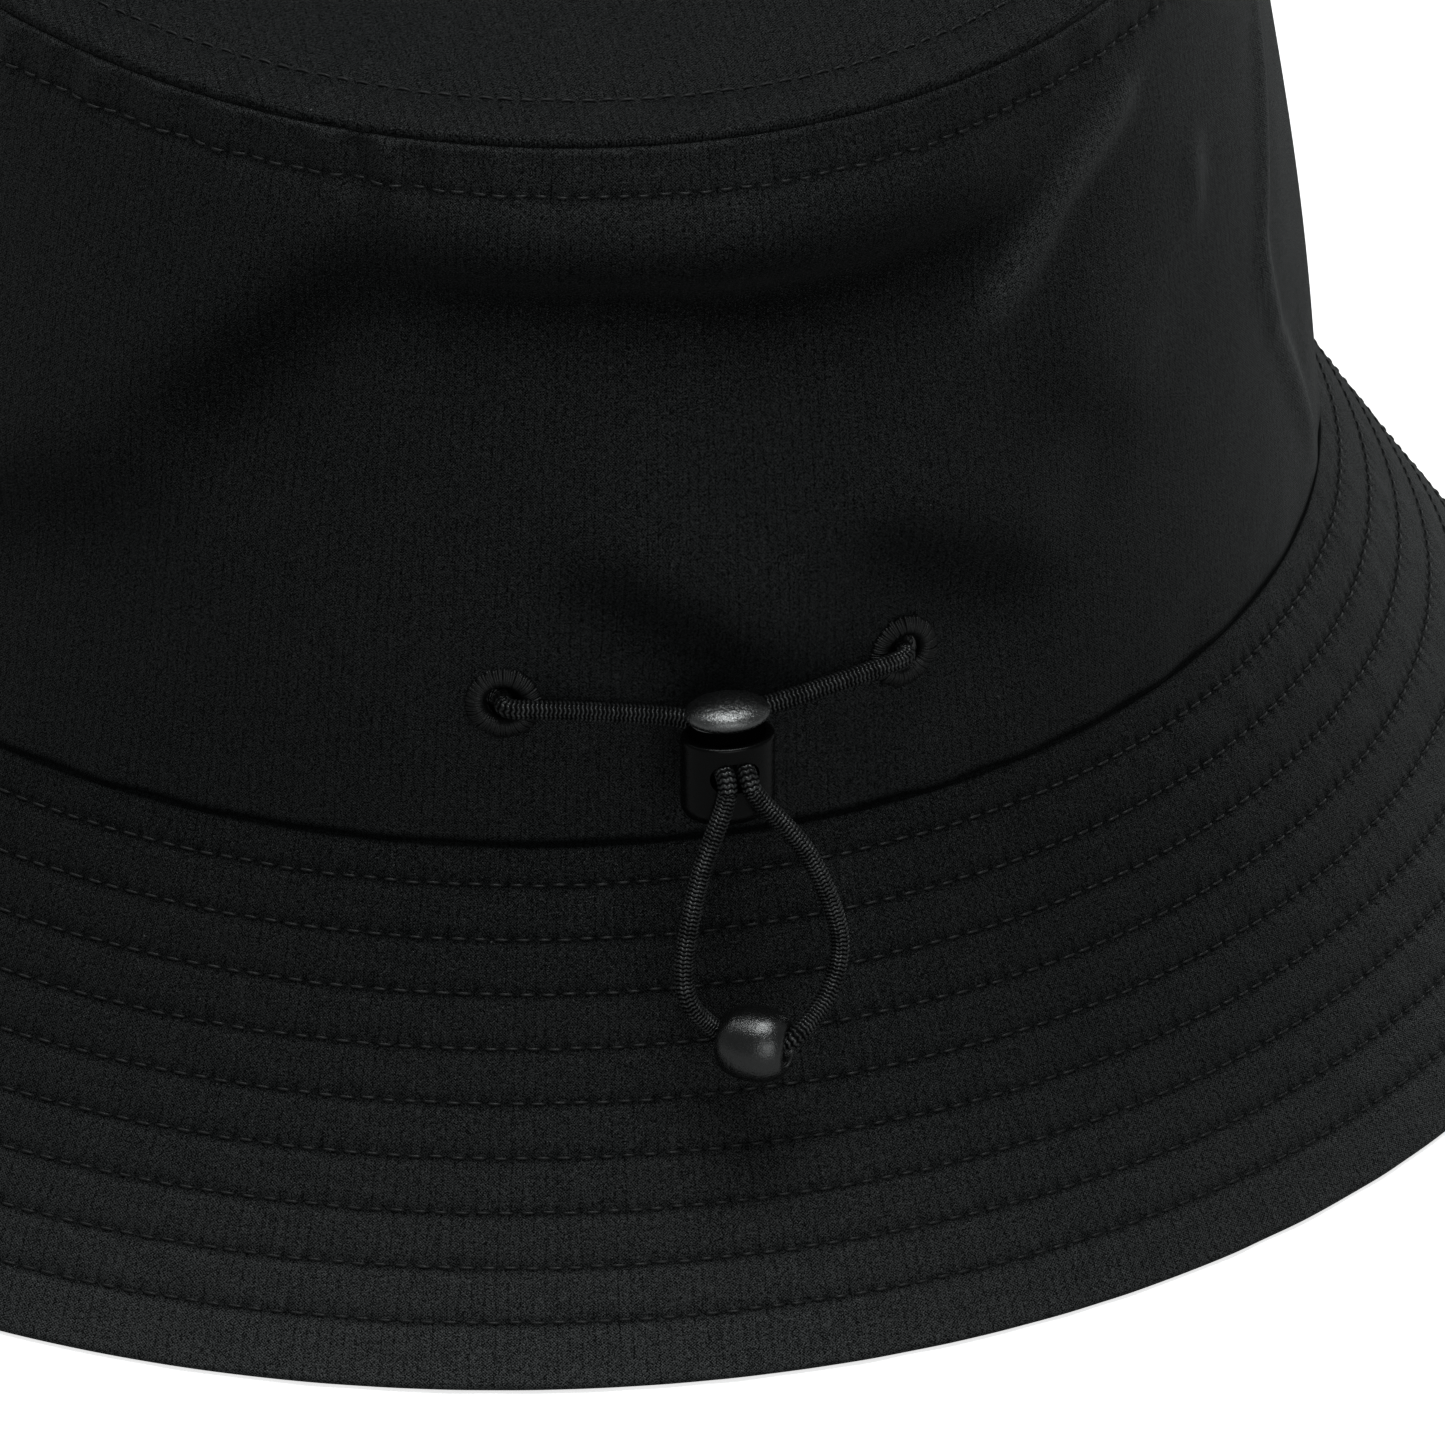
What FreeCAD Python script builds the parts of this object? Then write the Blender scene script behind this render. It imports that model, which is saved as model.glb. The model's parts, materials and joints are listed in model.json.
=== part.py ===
"""A soft bucket hat with a stitched brim and an elastic drawcord at the back.

Frame: +Z up, +Y towards the front of the hat, +X to the wearer's right. The origin is the centre of
the brim's outer edge, on the plane the hat rests on. All lengths are in millimetres.
"""

import FreeCAD, Part
import math
import os
from collections import namedtuple
from FreeCAD import Matrix, Placement, Rotation, Vector

# ---------------------------------------------------------------- driving dimensions
# Each level of the hat is an oval: half width (X), half length (Y), centre along Y, height.
Oval = namedtuple("Oval", "half_x half_y centre_y z")
BRIM_EDGE = Oval(123.8, 124.8, 0.0, 0.0)
CROWN_SEAM = Oval(89.0, 98.5, 1.6, 50.0)
TIP_SEAM = Oval(77.3, 96.5, -1.8, 134.4)
DOME_RISE = 10.0            # how far the top panel domes above its seam
DOME_POWER = 2.4            # roundness of the dome

FABRIC = 0.4                # shell fabric thickness
INTERLINING = 0.6           # stiffener inside the brim
LINING = 0.3
SWEATBAND = 1.0
LAYER_GAP = 0.15            # air between neighbouring layers
SEAM_GAP = 0.3              # width of the open seam line between two panels
SWEATBAND_HEIGHT = 28.0

THREAD = 0.35               # thread section
TOPSTITCH_OFFSET = 5.5      # from a seam to its topstitching
BRIM_ROWS = 9
FIRST_ROW = 0.075           # first and last brim row, as parts of the slope from seam to edge
LAST_ROW = 0.885

CORD_R = 1.05
EYELET_ANGLE = 15.1         # from the centre back, round the crown
EYELET_Z = 67.3
EYELET_R = 4.1
EYELET_HOLE_R = 2.2
SLEEVE_R = 2.6
PATCH_R = 7.0
PATCH = 0.3                 # stiffener behind each eyelet
PATCH_DROP = 0.95           # from the crown's outer surface to the flat patch
ANCHOR_ANGLE = 70.0         # where the hidden end of each cord run is sewn down
CHANNEL_INSET = 2.6         # cord centre, inside the crown's outer surface
SWEATBAND_INSET = 4.5

LOCK_X = 0.0
LOCK_Y = -104.0
LOCK_BOTTOM = 56.1
LOCK_HALF_X = 5.1
LOCK_HALF_Y = 3.8
LOCK_HEIGHT = 10.0
LOCK_FLOOR = 1.2
BORE_HALF_X = 4.1
BORE_HALF_Y = 2.8
CORD_HOLE_Z = 63.2          # centre of the two cords in the lock
CORD_PITCH = 2.3            # between the two cords, side by side
PRESS_TRAVEL = 1.0
STEM_PLAY = 0.08
BUTTON_HEIGHT = 3.1
SPRING_WIRE = 0.4
SPRING_R = 1.8
SPRING_COILS = 3

CORD_LIFT = 2.4             # centre of the visible cord, out from the crown, where it leaves the eyelet
CORNER_SHARE = 0.49         # part of a straight run that the arc at its end may use up
CHANNEL_BEND = 80.0         # bend radii: along the channel, through an eyelet, hanging free, into the lock, bead
EYELET_BEND = 1.7
CORD_BEND = 9.0
LOCK_BEND = 1.3
BEAD_BEND = 1.9

ROOT_LENGTH = 3.0           # cord from the lift axis to the swing axis
SWING_GAP = 1.8             # from the swing axis up to the root, room for the strands' round ends
BEAD_CENTRE = Vector(0.4, -114.6, 34.1)
BEAD_R = 4.1
BEAD_LENGTH = 7.6
BEAD_HOLE_R = 1.5
BEAD_TURN = 32.0            # the bead's axis, turned about Z away from X

SKIRT = 0.25                # brim interlining stays this far above the resting plane, as a part of its drop


# ---------------------------------------------------------------- geometry helpers
def between(low, high, part):
    """The oval at a part of the way from low to high."""
    return Oval(*[a + (b - a) * part for a, b in zip(low, high)])


def inset(oval, distance):
    return Oval(oval.half_x - distance, oval.half_y - distance, oval.centre_y, oval.z)


def at_height(z):
    """The outer surface's oval at a height: brim below the crown seam, wall above it."""
    if z < CROWN_SEAM.z:
        return between(BRIM_EDGE, CROWN_SEAM, (z - BRIM_EDGE.z) / (CROWN_SEAM.z - BRIM_EDGE.z))
    return between(CROWN_SEAM, TIP_SEAM, (z - CROWN_SEAM.z) / (TIP_SEAM.z - CROWN_SEAM.z))


def brim_inset(thickness):
    """Horizontal distance through a brim layer, from its thickness square to the slope."""
    run = BRIM_EDGE.half_y - CROWN_SEAM.half_y
    drop = CROWN_SEAM.z - BRIM_EDGE.z
    return thickness * math.hypot(run, drop) / drop


def oval_wire(oval):
    centre = Vector(0, oval.centre_y, oval.z)
    ellipse = Part.Ellipse(centre + Vector(0, oval.half_y, 0), centre + Vector(oval.half_x, 0, 0), centre)
    return Part.Wire([ellipse.toShape()])


def cone(low, high):
    """A solid with straight sides from one oval up to another."""
    return Part.makeLoft([oval_wire(low), oval_wire(high)], True, True)


def band(low, high, thickness):
    """A ring of sheet: low and high are its outer ovals, thickness is measured level."""
    return cone(low, high).cut(cone(inset(low, thickness), inset(high, thickness)))


def crown_point(angle, z, out=0.0):
    """A point near the crown's wall: angle in degrees from the centre back towards +X."""
    oval = at_height(z)
    turn = math.radians(angle)
    x = (oval.half_x + out) * math.sin(turn)
    y = oval.centre_y - (oval.half_y + out) * math.cos(turn)
    return Vector(x, y, z)


def crown_normal(angle, z):
    oval = at_height(z)
    turn = math.radians(angle)
    return Vector(math.sin(turn) / oval.half_x, -math.cos(turn) / oval.half_y, 0).normalize()


def placed_on_crown(shape, side):
    """Moves a shape modelled round +Z at the origin onto the eyelet's centre, +Z outwards."""
    angle = side * EYELET_ANGLE
    turn = Rotation(Vector(0, 0, 1), crown_normal(angle, EYELET_Z))
    shape.Placement = Placement(crown_point(angle, EYELET_Z), turn)
    return shape


def curve_edge(points):
    spline = Part.BSplineCurve()
    spline.interpolate(points)
    return spline.toShape()


def rounded_path(start, corners, end):
    """Straight runs joined by arcs: each corner is a point and its arc's radius, less where room is short."""
    points = [start] + [corner for corner, bend in corners] + [end]
    edges = []
    for index, (corner, bend) in enumerate(corners, 1):
        before = (corner - points[index - 1]).normalize()
        after = (points[index + 1] - corner).normalize()
        half_turn = before.getAngle(after) / 2
        room = CORNER_SHARE * min(corner.distanceToPoint(points[index + step]) for step in (-1, 1))
        cut = min(bend * math.tan(half_turn), room)
        inwards = (after - before).normalize()
        reach = cut / math.tan(half_turn)
        middle = corner + inwards * (math.hypot(reach, cut) - reach)
        edges.append(Part.makeLine(start, corner - before * cut))
        edges.append(Part.Arc(corner - before * cut, middle, corner + after * cut).toShape())
        start = corner + after * cut
    edges.append(Part.makeLine(start, end))
    return Part.Wire(edges)


def cord_along(start, corners, end):
    """A round cord that bends at each corner, a point and a radius."""
    ring = Part.Wire([Part.makeCircle(CORD_R, start, corners[0][0] - start)])
    return rounded_path(start, corners, end).makePipe(Part.Face(ring))


def save(shapes, node):
    solids = shapes if isinstance(shapes, list) else shapes.Solids
    shape = solids[0] if len(solids) == 1 else Part.makeCompound(solids)
    shape.exportStep(os.path.join("parts", node + ".step"))


# ---------------------------------------------------------------- crown and brim
def side_bands():
    """The crown's wall, back and front halves, with the cord holes in the back one."""
    low = at_height(CROWN_SEAM.z + SEAM_GAP / 2)
    high = at_height(TIP_SEAM.z - (SEAM_GAP + FABRIC) / 2)
    wall = band(low, high, FABRIC)
    for side in (-1, 1):
        hole = Part.makeCylinder(SLEEVE_R + LAYER_GAP, 6, Vector(0, 0, -3))
        wall = wall.cut(placed_on_crown(hole, side))
    reach = 2 * BRIM_EDGE.half_y
    half = Part.makeBox(2 * reach, reach, reach, Vector(-reach, -SEAM_GAP / 2 - reach, 0))
    back = wall.common(half)
    half.translate(Vector(0, reach + SEAM_GAP, 0))
    return back, wall.common(half)


def dome(outer, thickness):
    """A domed oval panel that stands on its seam oval."""
    def height(r):
        return outer.z + DOME_RISE * (1 - (r / outer.half_y) ** DOME_POWER)

    steps = [outer.half_y * (1 - part ** 2) for part in (0, 0.25, 0.5, 0.75, 1)]
    top = [Vector(r, 0, height(r)) for r in steps]
    under = [point - Vector(0, 0, thickness) for point in top]
    edges = [curve_edge(top), Part.makeLine(top[-1], under[-1]), curve_edge(under), Part.makeLine(under[0], top[0])]
    face = Part.Face(Part.Wire(Part.__sortEdges__(edges)))
    solid = face.revolve(Vector(0, 0, 0), Vector(0, 0, 1), 360)
    squeeze = Matrix()
    squeeze.scale(outer.half_x / outer.half_y, 1, 1)
    solid = solid.transformGeometry(squeeze)
    solid.translate(Vector(0, outer.centre_y, 0))
    return solid


def tip_panels():
    rim = at_height(TIP_SEAM.z + (SEAM_GAP + FABRIC) / 2)
    outer = dome(rim, FABRIC)
    liner_rim = Oval(rim.half_x - 3, rim.half_y - 3, rim.centre_y, rim.z - FABRIC - LAYER_GAP)
    return outer, dome(liner_rim, LINING)


def brim_layers():
    """Outer fabric, stiffener and under fabric, each a cone of sheet down to the edge."""
    top = at_height(CROWN_SEAM.z - SEAM_GAP / 2)
    skirt = at_height(SKIRT * TOPSTITCH_OFFSET)
    step_one = brim_inset(FABRIC + LAYER_GAP)
    step_two = step_one + brim_inset(INTERLINING + LAYER_GAP)
    upper = band(BRIM_EDGE, top, brim_inset(FABRIC))
    stiffener = band(inset(skirt, step_one), inset(top, step_one), brim_inset(INTERLINING))
    lower = band(inset(BRIM_EDGE, step_two), inset(top, step_two), brim_inset(FABRIC))
    return upper, stiffener, lower


def sweatband():
    low = inset(at_height(CROWN_SEAM.z + SEAM_GAP / 2), SWEATBAND_INSET)
    high = inset(at_height(CROWN_SEAM.z + SWEATBAND_HEIGHT), SWEATBAND_INSET)
    return band(low, high, SWEATBAND)


def side_lining():
    """Hangs from the tip seam to just above the sweatband."""
    step = FABRIC + LAYER_GAP
    low = inset(at_height(CROWN_SEAM.z + SWEATBAND_HEIGHT + 1), step)
    high = inset(at_height(TIP_SEAM.z - 2), step)
    return band(low, high, LINING)


# ---------------------------------------------------------------- threads
def thread_ring(oval):
    """One row of stitching: a thin ring of thread lying on the outside of an oval."""
    low = inset(oval, -THREAD - LAYER_GAP)
    high = Oval(low.half_x, low.half_y, low.centre_y, low.z + THREAD)
    return band(low, high, THREAD)


def brim_row(index):
    part = FIRST_ROW + (LAST_ROW - FIRST_ROW) * index / (BRIM_ROWS - 1)
    return between(CROWN_SEAM, BRIM_EDGE, part)


def brim_top_rows():
    return [thread_ring(brim_row(i)) for i in range(BRIM_ROWS)]


def brim_under_rows():
    """The same rows seen from below, inside the lowest layer."""
    layers = brim_inset(2 * FABRIC + INTERLINING + 4 * LAYER_GAP)
    under = layers + 2 * THREAD + 2 * LAYER_GAP
    return [thread_ring(inset(brim_row(i), under)) for i in range(BRIM_ROWS)]


def band_topstitch():
    return thread_ring(at_height(TIP_SEAM.z - TOPSTITCH_OFFSET))


def tip_topstitch():
    """The row on the domed top panel, just inside its seam."""
    ring = inset(TIP_SEAM, TOPSTITCH_OFFSET)
    part = 1 - TOPSTITCH_OFFSET / TIP_SEAM.half_x
    lift = DOME_RISE * (1 - part ** DOME_POWER) + LAYER_GAP + THREAD
    return thread_ring(Oval(ring.half_x, ring.half_y, ring.centre_y, TIP_SEAM.z + lift))


def sweatband_stitch():
    """The row along the sweatband's upper edge, on the side that touches the head."""
    oval = at_height(CROWN_SEAM.z + SWEATBAND_HEIGHT - 3)
    return thread_ring(inset(oval, SWEATBAND_INSET + SWEATBAND + 3 * LAYER_GAP + 2 * THREAD))


# ---------------------------------------------------------------- drawcord
def eyelet(side):
    """An embroidered ring: a rounded rim on the outside and a sleeve through the fabric."""
    rim = Part.makeTorus((EYELET_R + EYELET_HOLE_R) / 2, (EYELET_R - EYELET_HOLE_R) / 2)
    keep = Part.makeCylinder(EYELET_R, 0.55, Vector(0, 0, LAYER_GAP))
    sleeve = Part.makeCylinder(SLEEVE_R, FABRIC + 3 * LAYER_GAP, Vector(0, 0, -FABRIC - LAYER_GAP))
    bore = Part.makeCylinder(EYELET_HOLE_R, 4, Vector(0, 0, -2))
    shape = rim.common(keep).fuse(sleeve).cut(bore).removeSplitter()
    return placed_on_crown(shape, side)


def eyelet_patch(side):
    """A round of stiffener behind the eyelet, inside the crown."""
    disc = Part.makeCylinder(PATCH_R, PATCH, Vector(0, 0, -PATCH_DROP - PATCH))
    hole = Part.makeCylinder(SLEEVE_R + 2 * LAYER_GAP, 4, Vector(0, 0, -3))
    return placed_on_crown(disc.cut(hole), side)


def drawcord_run(side):
    """One side's cord: sewn down in the channel, out through the eyelet, along to the lock."""
    start = crown_point(side * ANCHOR_ANGLE, EYELET_Z, -CHANNEL_INSET)
    hidden = [crown_point(side * angle, EYELET_Z, -CHANNEL_INSET) for angle in (58, 46, 34, 24)]
    corners = [(point, CHANNEL_BEND) for point in hidden]
    for out in (-CHANNEL_INSET, CORD_LIFT):
        corners.append((crown_point(side * EYELET_ANGLE, EYELET_Z, out), EYELET_BEND))
    corners.append((crown_point(side * EYELET_ANGLE * 0.4, EYELET_Z - 0.8, CORD_LIFT - 0.5), CORD_BEND))
    end = Vector(LOCK_X + side * CORD_PITCH / 2, LOCK_Y + LOCK_HALF_Y + LAYER_GAP, CORD_HOLE_Z)
    corners.append((end + Vector(0, LOCK_BEND * 1.15, 0), LOCK_BEND))
    return cord_along(start, corners, end)


def cord_anchor(side):
    """The bar of dense stitching that holds the cord's hidden end."""
    angle = side * (ANCHOR_ANGLE + 1.5)
    block = Part.makeBox(2.0, 4.0, 2.4, Vector(-1, -2, -1.2))
    turn = Rotation(Vector(0, 0, 1), crown_normal(angle, EYELET_Z))
    block.Placement = Placement(crown_point(angle, EYELET_Z, -CHANNEL_INSET + 0.2), turn)
    return block


def lock_oval(half_x, half_y, height, z):
    ellipse = Part.Ellipse(Vector(LOCK_X + half_x, LOCK_Y, z), Vector(LOCK_X, LOCK_Y + half_y, z), Vector(LOCK_X, LOCK_Y, z))
    return Part.Face(Part.Wire([ellipse.toShape()])).extrude(Vector(0, 0, height))


def cross_slot(width, low, high):
    """A front-to-back slot with round ends, through the lock or its stem."""
    radius = (high - low) / 2
    middle = (high + low) / 2
    reach = 4 * LOCK_HALF_Y
    start = LOCK_Y - reach / 2
    straight = width / 2 - radius
    slot = Part.makeBox(2 * straight, reach, 2 * radius, Vector(LOCK_X - straight, start, low))
    for side in (-1, 1):
        end = Vector(LOCK_X + side * straight, start, middle)
        slot = slot.fuse(Part.makeCylinder(radius, reach, end, Vector(0, 1, 0)))
    return slot.removeSplitter()


def lock_body():
    """A barrel with an oval bore for the stem and a slot across it for the cords."""
    barrel = lock_oval(LOCK_HALF_X, LOCK_HALF_Y, LOCK_HEIGHT, LOCK_BOTTOM)
    bottom = [edge for edge in barrel.Edges if abs(edge.CenterOfMass.z - LOCK_BOTTOM) < 0.01]
    barrel = barrel.makeFillet(2.2, bottom)
    top = [edge for edge in barrel.Edges if abs(edge.CenterOfMass.z - LOCK_BOTTOM - LOCK_HEIGHT) < 0.01]
    barrel = barrel.makeFillet(0.35, top)
    bore = lock_oval(BORE_HALF_X, BORE_HALF_Y, LOCK_HEIGHT, LOCK_BOTTOM + LOCK_FLOOR)
    low = CORD_HOLE_Z - CORD_R - 1.4
    high = CORD_HOLE_Z + CORD_R + 0.06
    return barrel.cut(bore).cut(cross_slot(5.4, low, high))


def button_head(bottom):
    """A flattened ellipsoid, cut flat underneath."""
    squash = FreeCAD.Matrix()
    squash.scale(LOCK_HALF_X - 0.5, LOCK_HALF_Y - 0.2, BUTTON_HEIGHT * 0.55)
    head = Part.makeSphere(1).transformGeometry(squash)
    head.translate(Vector(LOCK_X, LOCK_Y, bottom + BUTTON_HEIGHT * 0.45))
    return head.common(Part.makeBox(40, 40, 20, Vector(LOCK_X - 20, LOCK_Y - 20, bottom)))


def lock_button():
    """The domed press button and its stem, whose slot pinches the cords from below."""
    head_bottom = LOCK_BOTTOM + LOCK_HEIGHT + PRESS_TRAVEL + 0.1
    slot_low = CORD_HOLE_Z - CORD_R - 0.06
    slot_high = CORD_HOLE_Z + CORD_R + PRESS_TRAVEL + 0.1
    stem_bottom = slot_low - 1.4
    stem_height = head_bottom + BUTTON_HEIGHT / 4 - stem_bottom
    stem = lock_oval(BORE_HALF_X - STEM_PLAY, BORE_HALF_Y - STEM_PLAY, stem_height, stem_bottom)
    shape = button_head(head_bottom).fuse(stem).removeSplitter()
    return shape.cut(cross_slot(5.2, slot_low, slot_high)), stem_bottom


def lock_spring(stem_bottom):
    """The coil spring between the barrel's floor and the stem, as half turns tilted end to end."""
    foot = Vector(LOCK_X, LOCK_Y, LOCK_BOTTOM + LOCK_FLOOR + SPRING_WIRE / 2 + LAYER_GAP)
    rise = stem_bottom - foot.z - SPRING_WIRE / 2 - LAYER_GAP
    step = rise / (2 * SPRING_COILS)
    tilt = math.degrees(math.atan2(step, 2 * SPRING_R))
    up = Vector(0, 0, 1)
    pieces = []
    for i in range(2 * SPRING_COILS):
        side = 1 if i % 2 == 0 else -1
        half = Part.makeTorus(SPRING_R, SPRING_WIRE / 2, Vector(0, 0, 0), up, -180, 180, 180)
        turn = Rotation(up, 90 - 90 * side).multiply(Rotation(Vector(0, 1, 0), tilt))
        half.Placement = Placement(foot + Vector(0, 0, step * (i + 0.5)), turn)
        pieces.append(half)
        if i > 0:
            joint = foot + Vector(side * SPRING_R, 0, step * i)
            pieces.append(Part.makeSphere(SPRING_WIRE * 0.515, joint))
    return pieces[0].multiFuse(pieces[1:])


def cords_in_lock():
    """The two cords where they cross the lock, front to back."""
    start = LOCK_Y - LOCK_HALF_Y
    length = 2 * LOCK_HALF_Y
    xs = [LOCK_X + side * CORD_PITCH / 2 for side in (-1, 1)]
    return [Part.makeCylinder(CORD_R, length, Vector(x, start, CORD_HOLE_Z), Vector(0, 1, 0)) for x in xs]


def lift_point():
    """The lift axis crosses the cords here, just in front of the lock."""
    return Vector(LOCK_X, LOCK_Y - LOCK_HALF_Y - CORD_R - LAYER_GAP, CORD_HOLE_Z)


def loop_roots():
    """The first stretch of each strand: it turns down at the lock's mouth."""
    roots = []
    for side in (-1, 1):
        knuckle = lift_point() + Vector(side * CORD_PITCH / 2, 0, 0)
        ball = Part.makeSphere(CORD_R, knuckle)
        drop = Part.makeCylinder(CORD_R, ROOT_LENGTH - SWING_GAP, knuckle, Vector(0, 0, -1))
        roots.append(ball.fuse(drop).removeSplitter())
    return roots


def drawcord_loop():
    """The loop from the lock's mouth: down one strand, through the bead and up the other."""
    top = lift_point() - Vector(0, 0, ROOT_LENGTH)
    start, end = [top + Vector(side * CORD_PITCH / 2, 0, 0) for side in (-1, 1)]
    turn = math.radians(BEAD_TURN)
    mouth = Vector(math.cos(turn), -math.sin(turn), 0) * (BEAD_LENGTH / 2 + BEAD_BEND)
    left = [(Vector(-5.4, -110.2, 48.0), CORD_BEND), (Vector(-6.8, -112.2, 39.5), CORD_BEND)]
    right = [(Vector(10.4, -111.8, 42.0), CORD_BEND), (Vector(8.0, -110.2, 51.0), CORD_BEND)]
    through = [(BEAD_CENTRE - mouth, BEAD_BEND), (BEAD_CENTRE + mouth, BEAD_BEND)]
    cord = cord_along(start, left + through + right, end)
    for tip in (start, end):
        cord = cord.fuse(Part.makeSphere(CORD_R, tip))
    return cord.removeSplitter()


def bead():
    """A barrel bead, fattest in the middle, with the cord's hole along its axis."""
    half = BEAD_LENGTH / 2
    profile = [Vector(x * half, 0, BEAD_R * (1 - 0.38 * abs(x) ** 2.4)) for x in (-0.94, -0.6, 0, 0.6, 0.94)]
    arc = curve_edge(profile)
    low = [Vector(side * half, 0, BEAD_HOLE_R + 0.3) for side in (-1, 1)]
    hole = [Vector(side * (half - 0.3), 0, BEAD_HOLE_R) for side in (-1, 1)]
    lines = [Part.makeLine(profile[0], low[0]), Part.makeLine(low[0], hole[0]), Part.makeLine(hole[0], hole[1])]
    lines += [Part.makeLine(hole[1], low[1]), Part.makeLine(low[1], profile[-1])]
    face = Part.Face(Part.Wire(Part.__sortEdges__([arc] + lines)))
    shape = face.revolve(Vector(0, 0, 0), Vector(1, 0, 0), 360)
    shape.Placement = Placement(BEAD_CENTRE, Rotation(Vector(0, 0, 1), -BEAD_TURN))
    return shape


# ---------------------------------------------------------------- write every node
def main():
    os.makedirs("parts", exist_ok=True)
    back, front = side_bands()
    tip, tip_liner = tip_panels()
    upper, stiffener, lower = brim_layers()
    button, stem_bottom = lock_button()
    nodes = {
        "side_band_back": back, "side_band_front": front, "tip_panel": tip, "tip_lining": tip_liner,
        "brim_upper": upper, "brim_interlining": stiffener, "brim_lower": lower,
        "side_lining": side_lining(), "sweatband": sweatband(),
        "tip_topstitch": tip_topstitch(), "band_topstitch": band_topstitch(),
        "brim_topstitch_rows": brim_top_rows(), "brim_under_stitch_rows": brim_under_rows(),
        "sweatband_stitch": sweatband_stitch(),
        "cord_lock_body": lock_body(), "cord_lock_button": button, "cord_lock_spring": lock_spring(stem_bottom),
        "drawcord_in_lock": cords_in_lock(), "drawcord_loop_root": loop_roots(),
        "drawcord_loop": drawcord_loop(), "cord_bead": bead(),
    }
    for name, side in (("left", -1), ("right", 1)):
        nodes["eyelet_" + name] = eyelet(side)
        nodes["eyelet_patch_" + name] = eyelet_patch(side)
        nodes["drawcord_run_" + name] = drawcord_run(side)
        nodes["cord_anchor_" + name] = cord_anchor(side)
    for name, shape in nodes.items():
        save(shape, name)


main()
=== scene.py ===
# The looks of the bucket hat: cloth, stitches, drawcord and fittings, built round the CAD frame.
# Lengths are metres. Angles round the hat are measured from its centre back, positive towards +X.

import json
import math

import bpy
import numpy as np
from mathutils import Matrix, Vector


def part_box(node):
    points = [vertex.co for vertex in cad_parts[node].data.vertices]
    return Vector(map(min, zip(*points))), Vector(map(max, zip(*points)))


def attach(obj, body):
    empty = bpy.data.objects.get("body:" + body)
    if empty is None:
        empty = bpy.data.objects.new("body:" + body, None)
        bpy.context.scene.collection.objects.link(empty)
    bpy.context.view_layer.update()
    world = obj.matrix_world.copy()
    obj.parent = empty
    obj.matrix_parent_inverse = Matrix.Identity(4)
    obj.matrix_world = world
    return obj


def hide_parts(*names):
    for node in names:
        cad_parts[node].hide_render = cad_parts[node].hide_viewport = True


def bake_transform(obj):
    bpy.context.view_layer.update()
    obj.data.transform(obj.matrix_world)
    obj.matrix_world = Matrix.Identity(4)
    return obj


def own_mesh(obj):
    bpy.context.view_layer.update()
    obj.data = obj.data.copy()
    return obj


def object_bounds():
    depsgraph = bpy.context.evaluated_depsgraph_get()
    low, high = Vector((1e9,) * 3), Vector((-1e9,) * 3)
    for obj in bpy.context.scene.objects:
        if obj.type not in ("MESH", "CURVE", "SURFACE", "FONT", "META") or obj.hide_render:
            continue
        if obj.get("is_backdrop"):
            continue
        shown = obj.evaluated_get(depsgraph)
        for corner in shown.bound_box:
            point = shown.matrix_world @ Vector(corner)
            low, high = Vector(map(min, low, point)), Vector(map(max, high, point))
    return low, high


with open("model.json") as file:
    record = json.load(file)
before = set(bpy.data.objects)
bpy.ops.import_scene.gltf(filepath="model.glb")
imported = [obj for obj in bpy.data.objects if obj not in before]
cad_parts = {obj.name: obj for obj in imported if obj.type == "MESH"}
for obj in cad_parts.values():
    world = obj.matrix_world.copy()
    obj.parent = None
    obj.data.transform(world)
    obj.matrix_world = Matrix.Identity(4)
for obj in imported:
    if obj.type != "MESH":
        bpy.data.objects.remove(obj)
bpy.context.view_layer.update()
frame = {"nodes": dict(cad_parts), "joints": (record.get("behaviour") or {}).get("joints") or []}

MM = 0.001
TURN = 2 * math.pi
UP = np.array([0, 0, 1.0])

# ---- sizes and counts
BRIM_ROWS = 9
FIRST_ROW = 0.075  # brim rows, as parts of the slope from crown seam to edge
LAST_ROW = 0.885
ROW_STEP = 0.101  # part of the slope from row to row, for the rows' stitch counts
CROWN_ROUND = 590 * MM  # round the crown's base
ROW_GROWTH = 190 * MM  # how much longer a row gets over the whole slope
BRIM_ROUND = 700 * MM
BRIM_DEPTH = 1.9 * MM  # from the brim's upper face to its lower one
BRIM_SAG = 0.8 * MM
STITCH_PITCH = 2.35 * MM
STITCH_LENGTH = 0.72  # part of the pitch
THREAD_R = 0.17 * MM
TOPSTITCH_OFFSET = 5.4 * MM
ROW_GROOVE = 0.30 * MM  # how far a stitch row pulls thick cloth in
TIP_GROOVE = 0.28 * MM
PULL_WIDTH = 0.42 * MM  # reach of the painted shade round a row of needle holes
SEAM_LINE = 0.55 * MM  # depth of a side seam
YARN = 0.35 * MM  # pitch of the weave's yarns
RIB = 1.23 * MM  # pitch of the shell cloth's upright ribs
RIB_WANDER = 0.3 * MM
RIB_DEPTH = 0.18  # as a part of the weave's depth
WEAVE_DEPTH = 0.045 * MM
CLOTH = 0.45 * MM  # thickness of the shell cloth
ROLL = 0.75 * MM  # radius of a seamed edge's turn inwards
ROLL_TURN = math.radians(130)
DOME_POWER = 2.4
TIP_LIFT = 0.45 * MM  # from the wall's turned edge up to the top panel's
WALL_SWELL = 1.2 * MM  # how far the wall bulges out at its middle
WALL_SLACK = 0.9 * MM  # slow unevenness of the wall away from its back
GATHER = 0.38 * MM  # gathers in the wall along the seam with the top
BASE_GATHER = 0.18 * MM
CORD_R = 1.05 * MM
BRAID_FURROW = 0.18 * MM  # from the cord's nominal surface down to its furrows
BRAID_HEIGHT = 0.22 * MM  # from the furrows up to the strands' crowns
BRAID_PITCH = 0.47 * MM
BRAID_COLUMNS = 7
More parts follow.
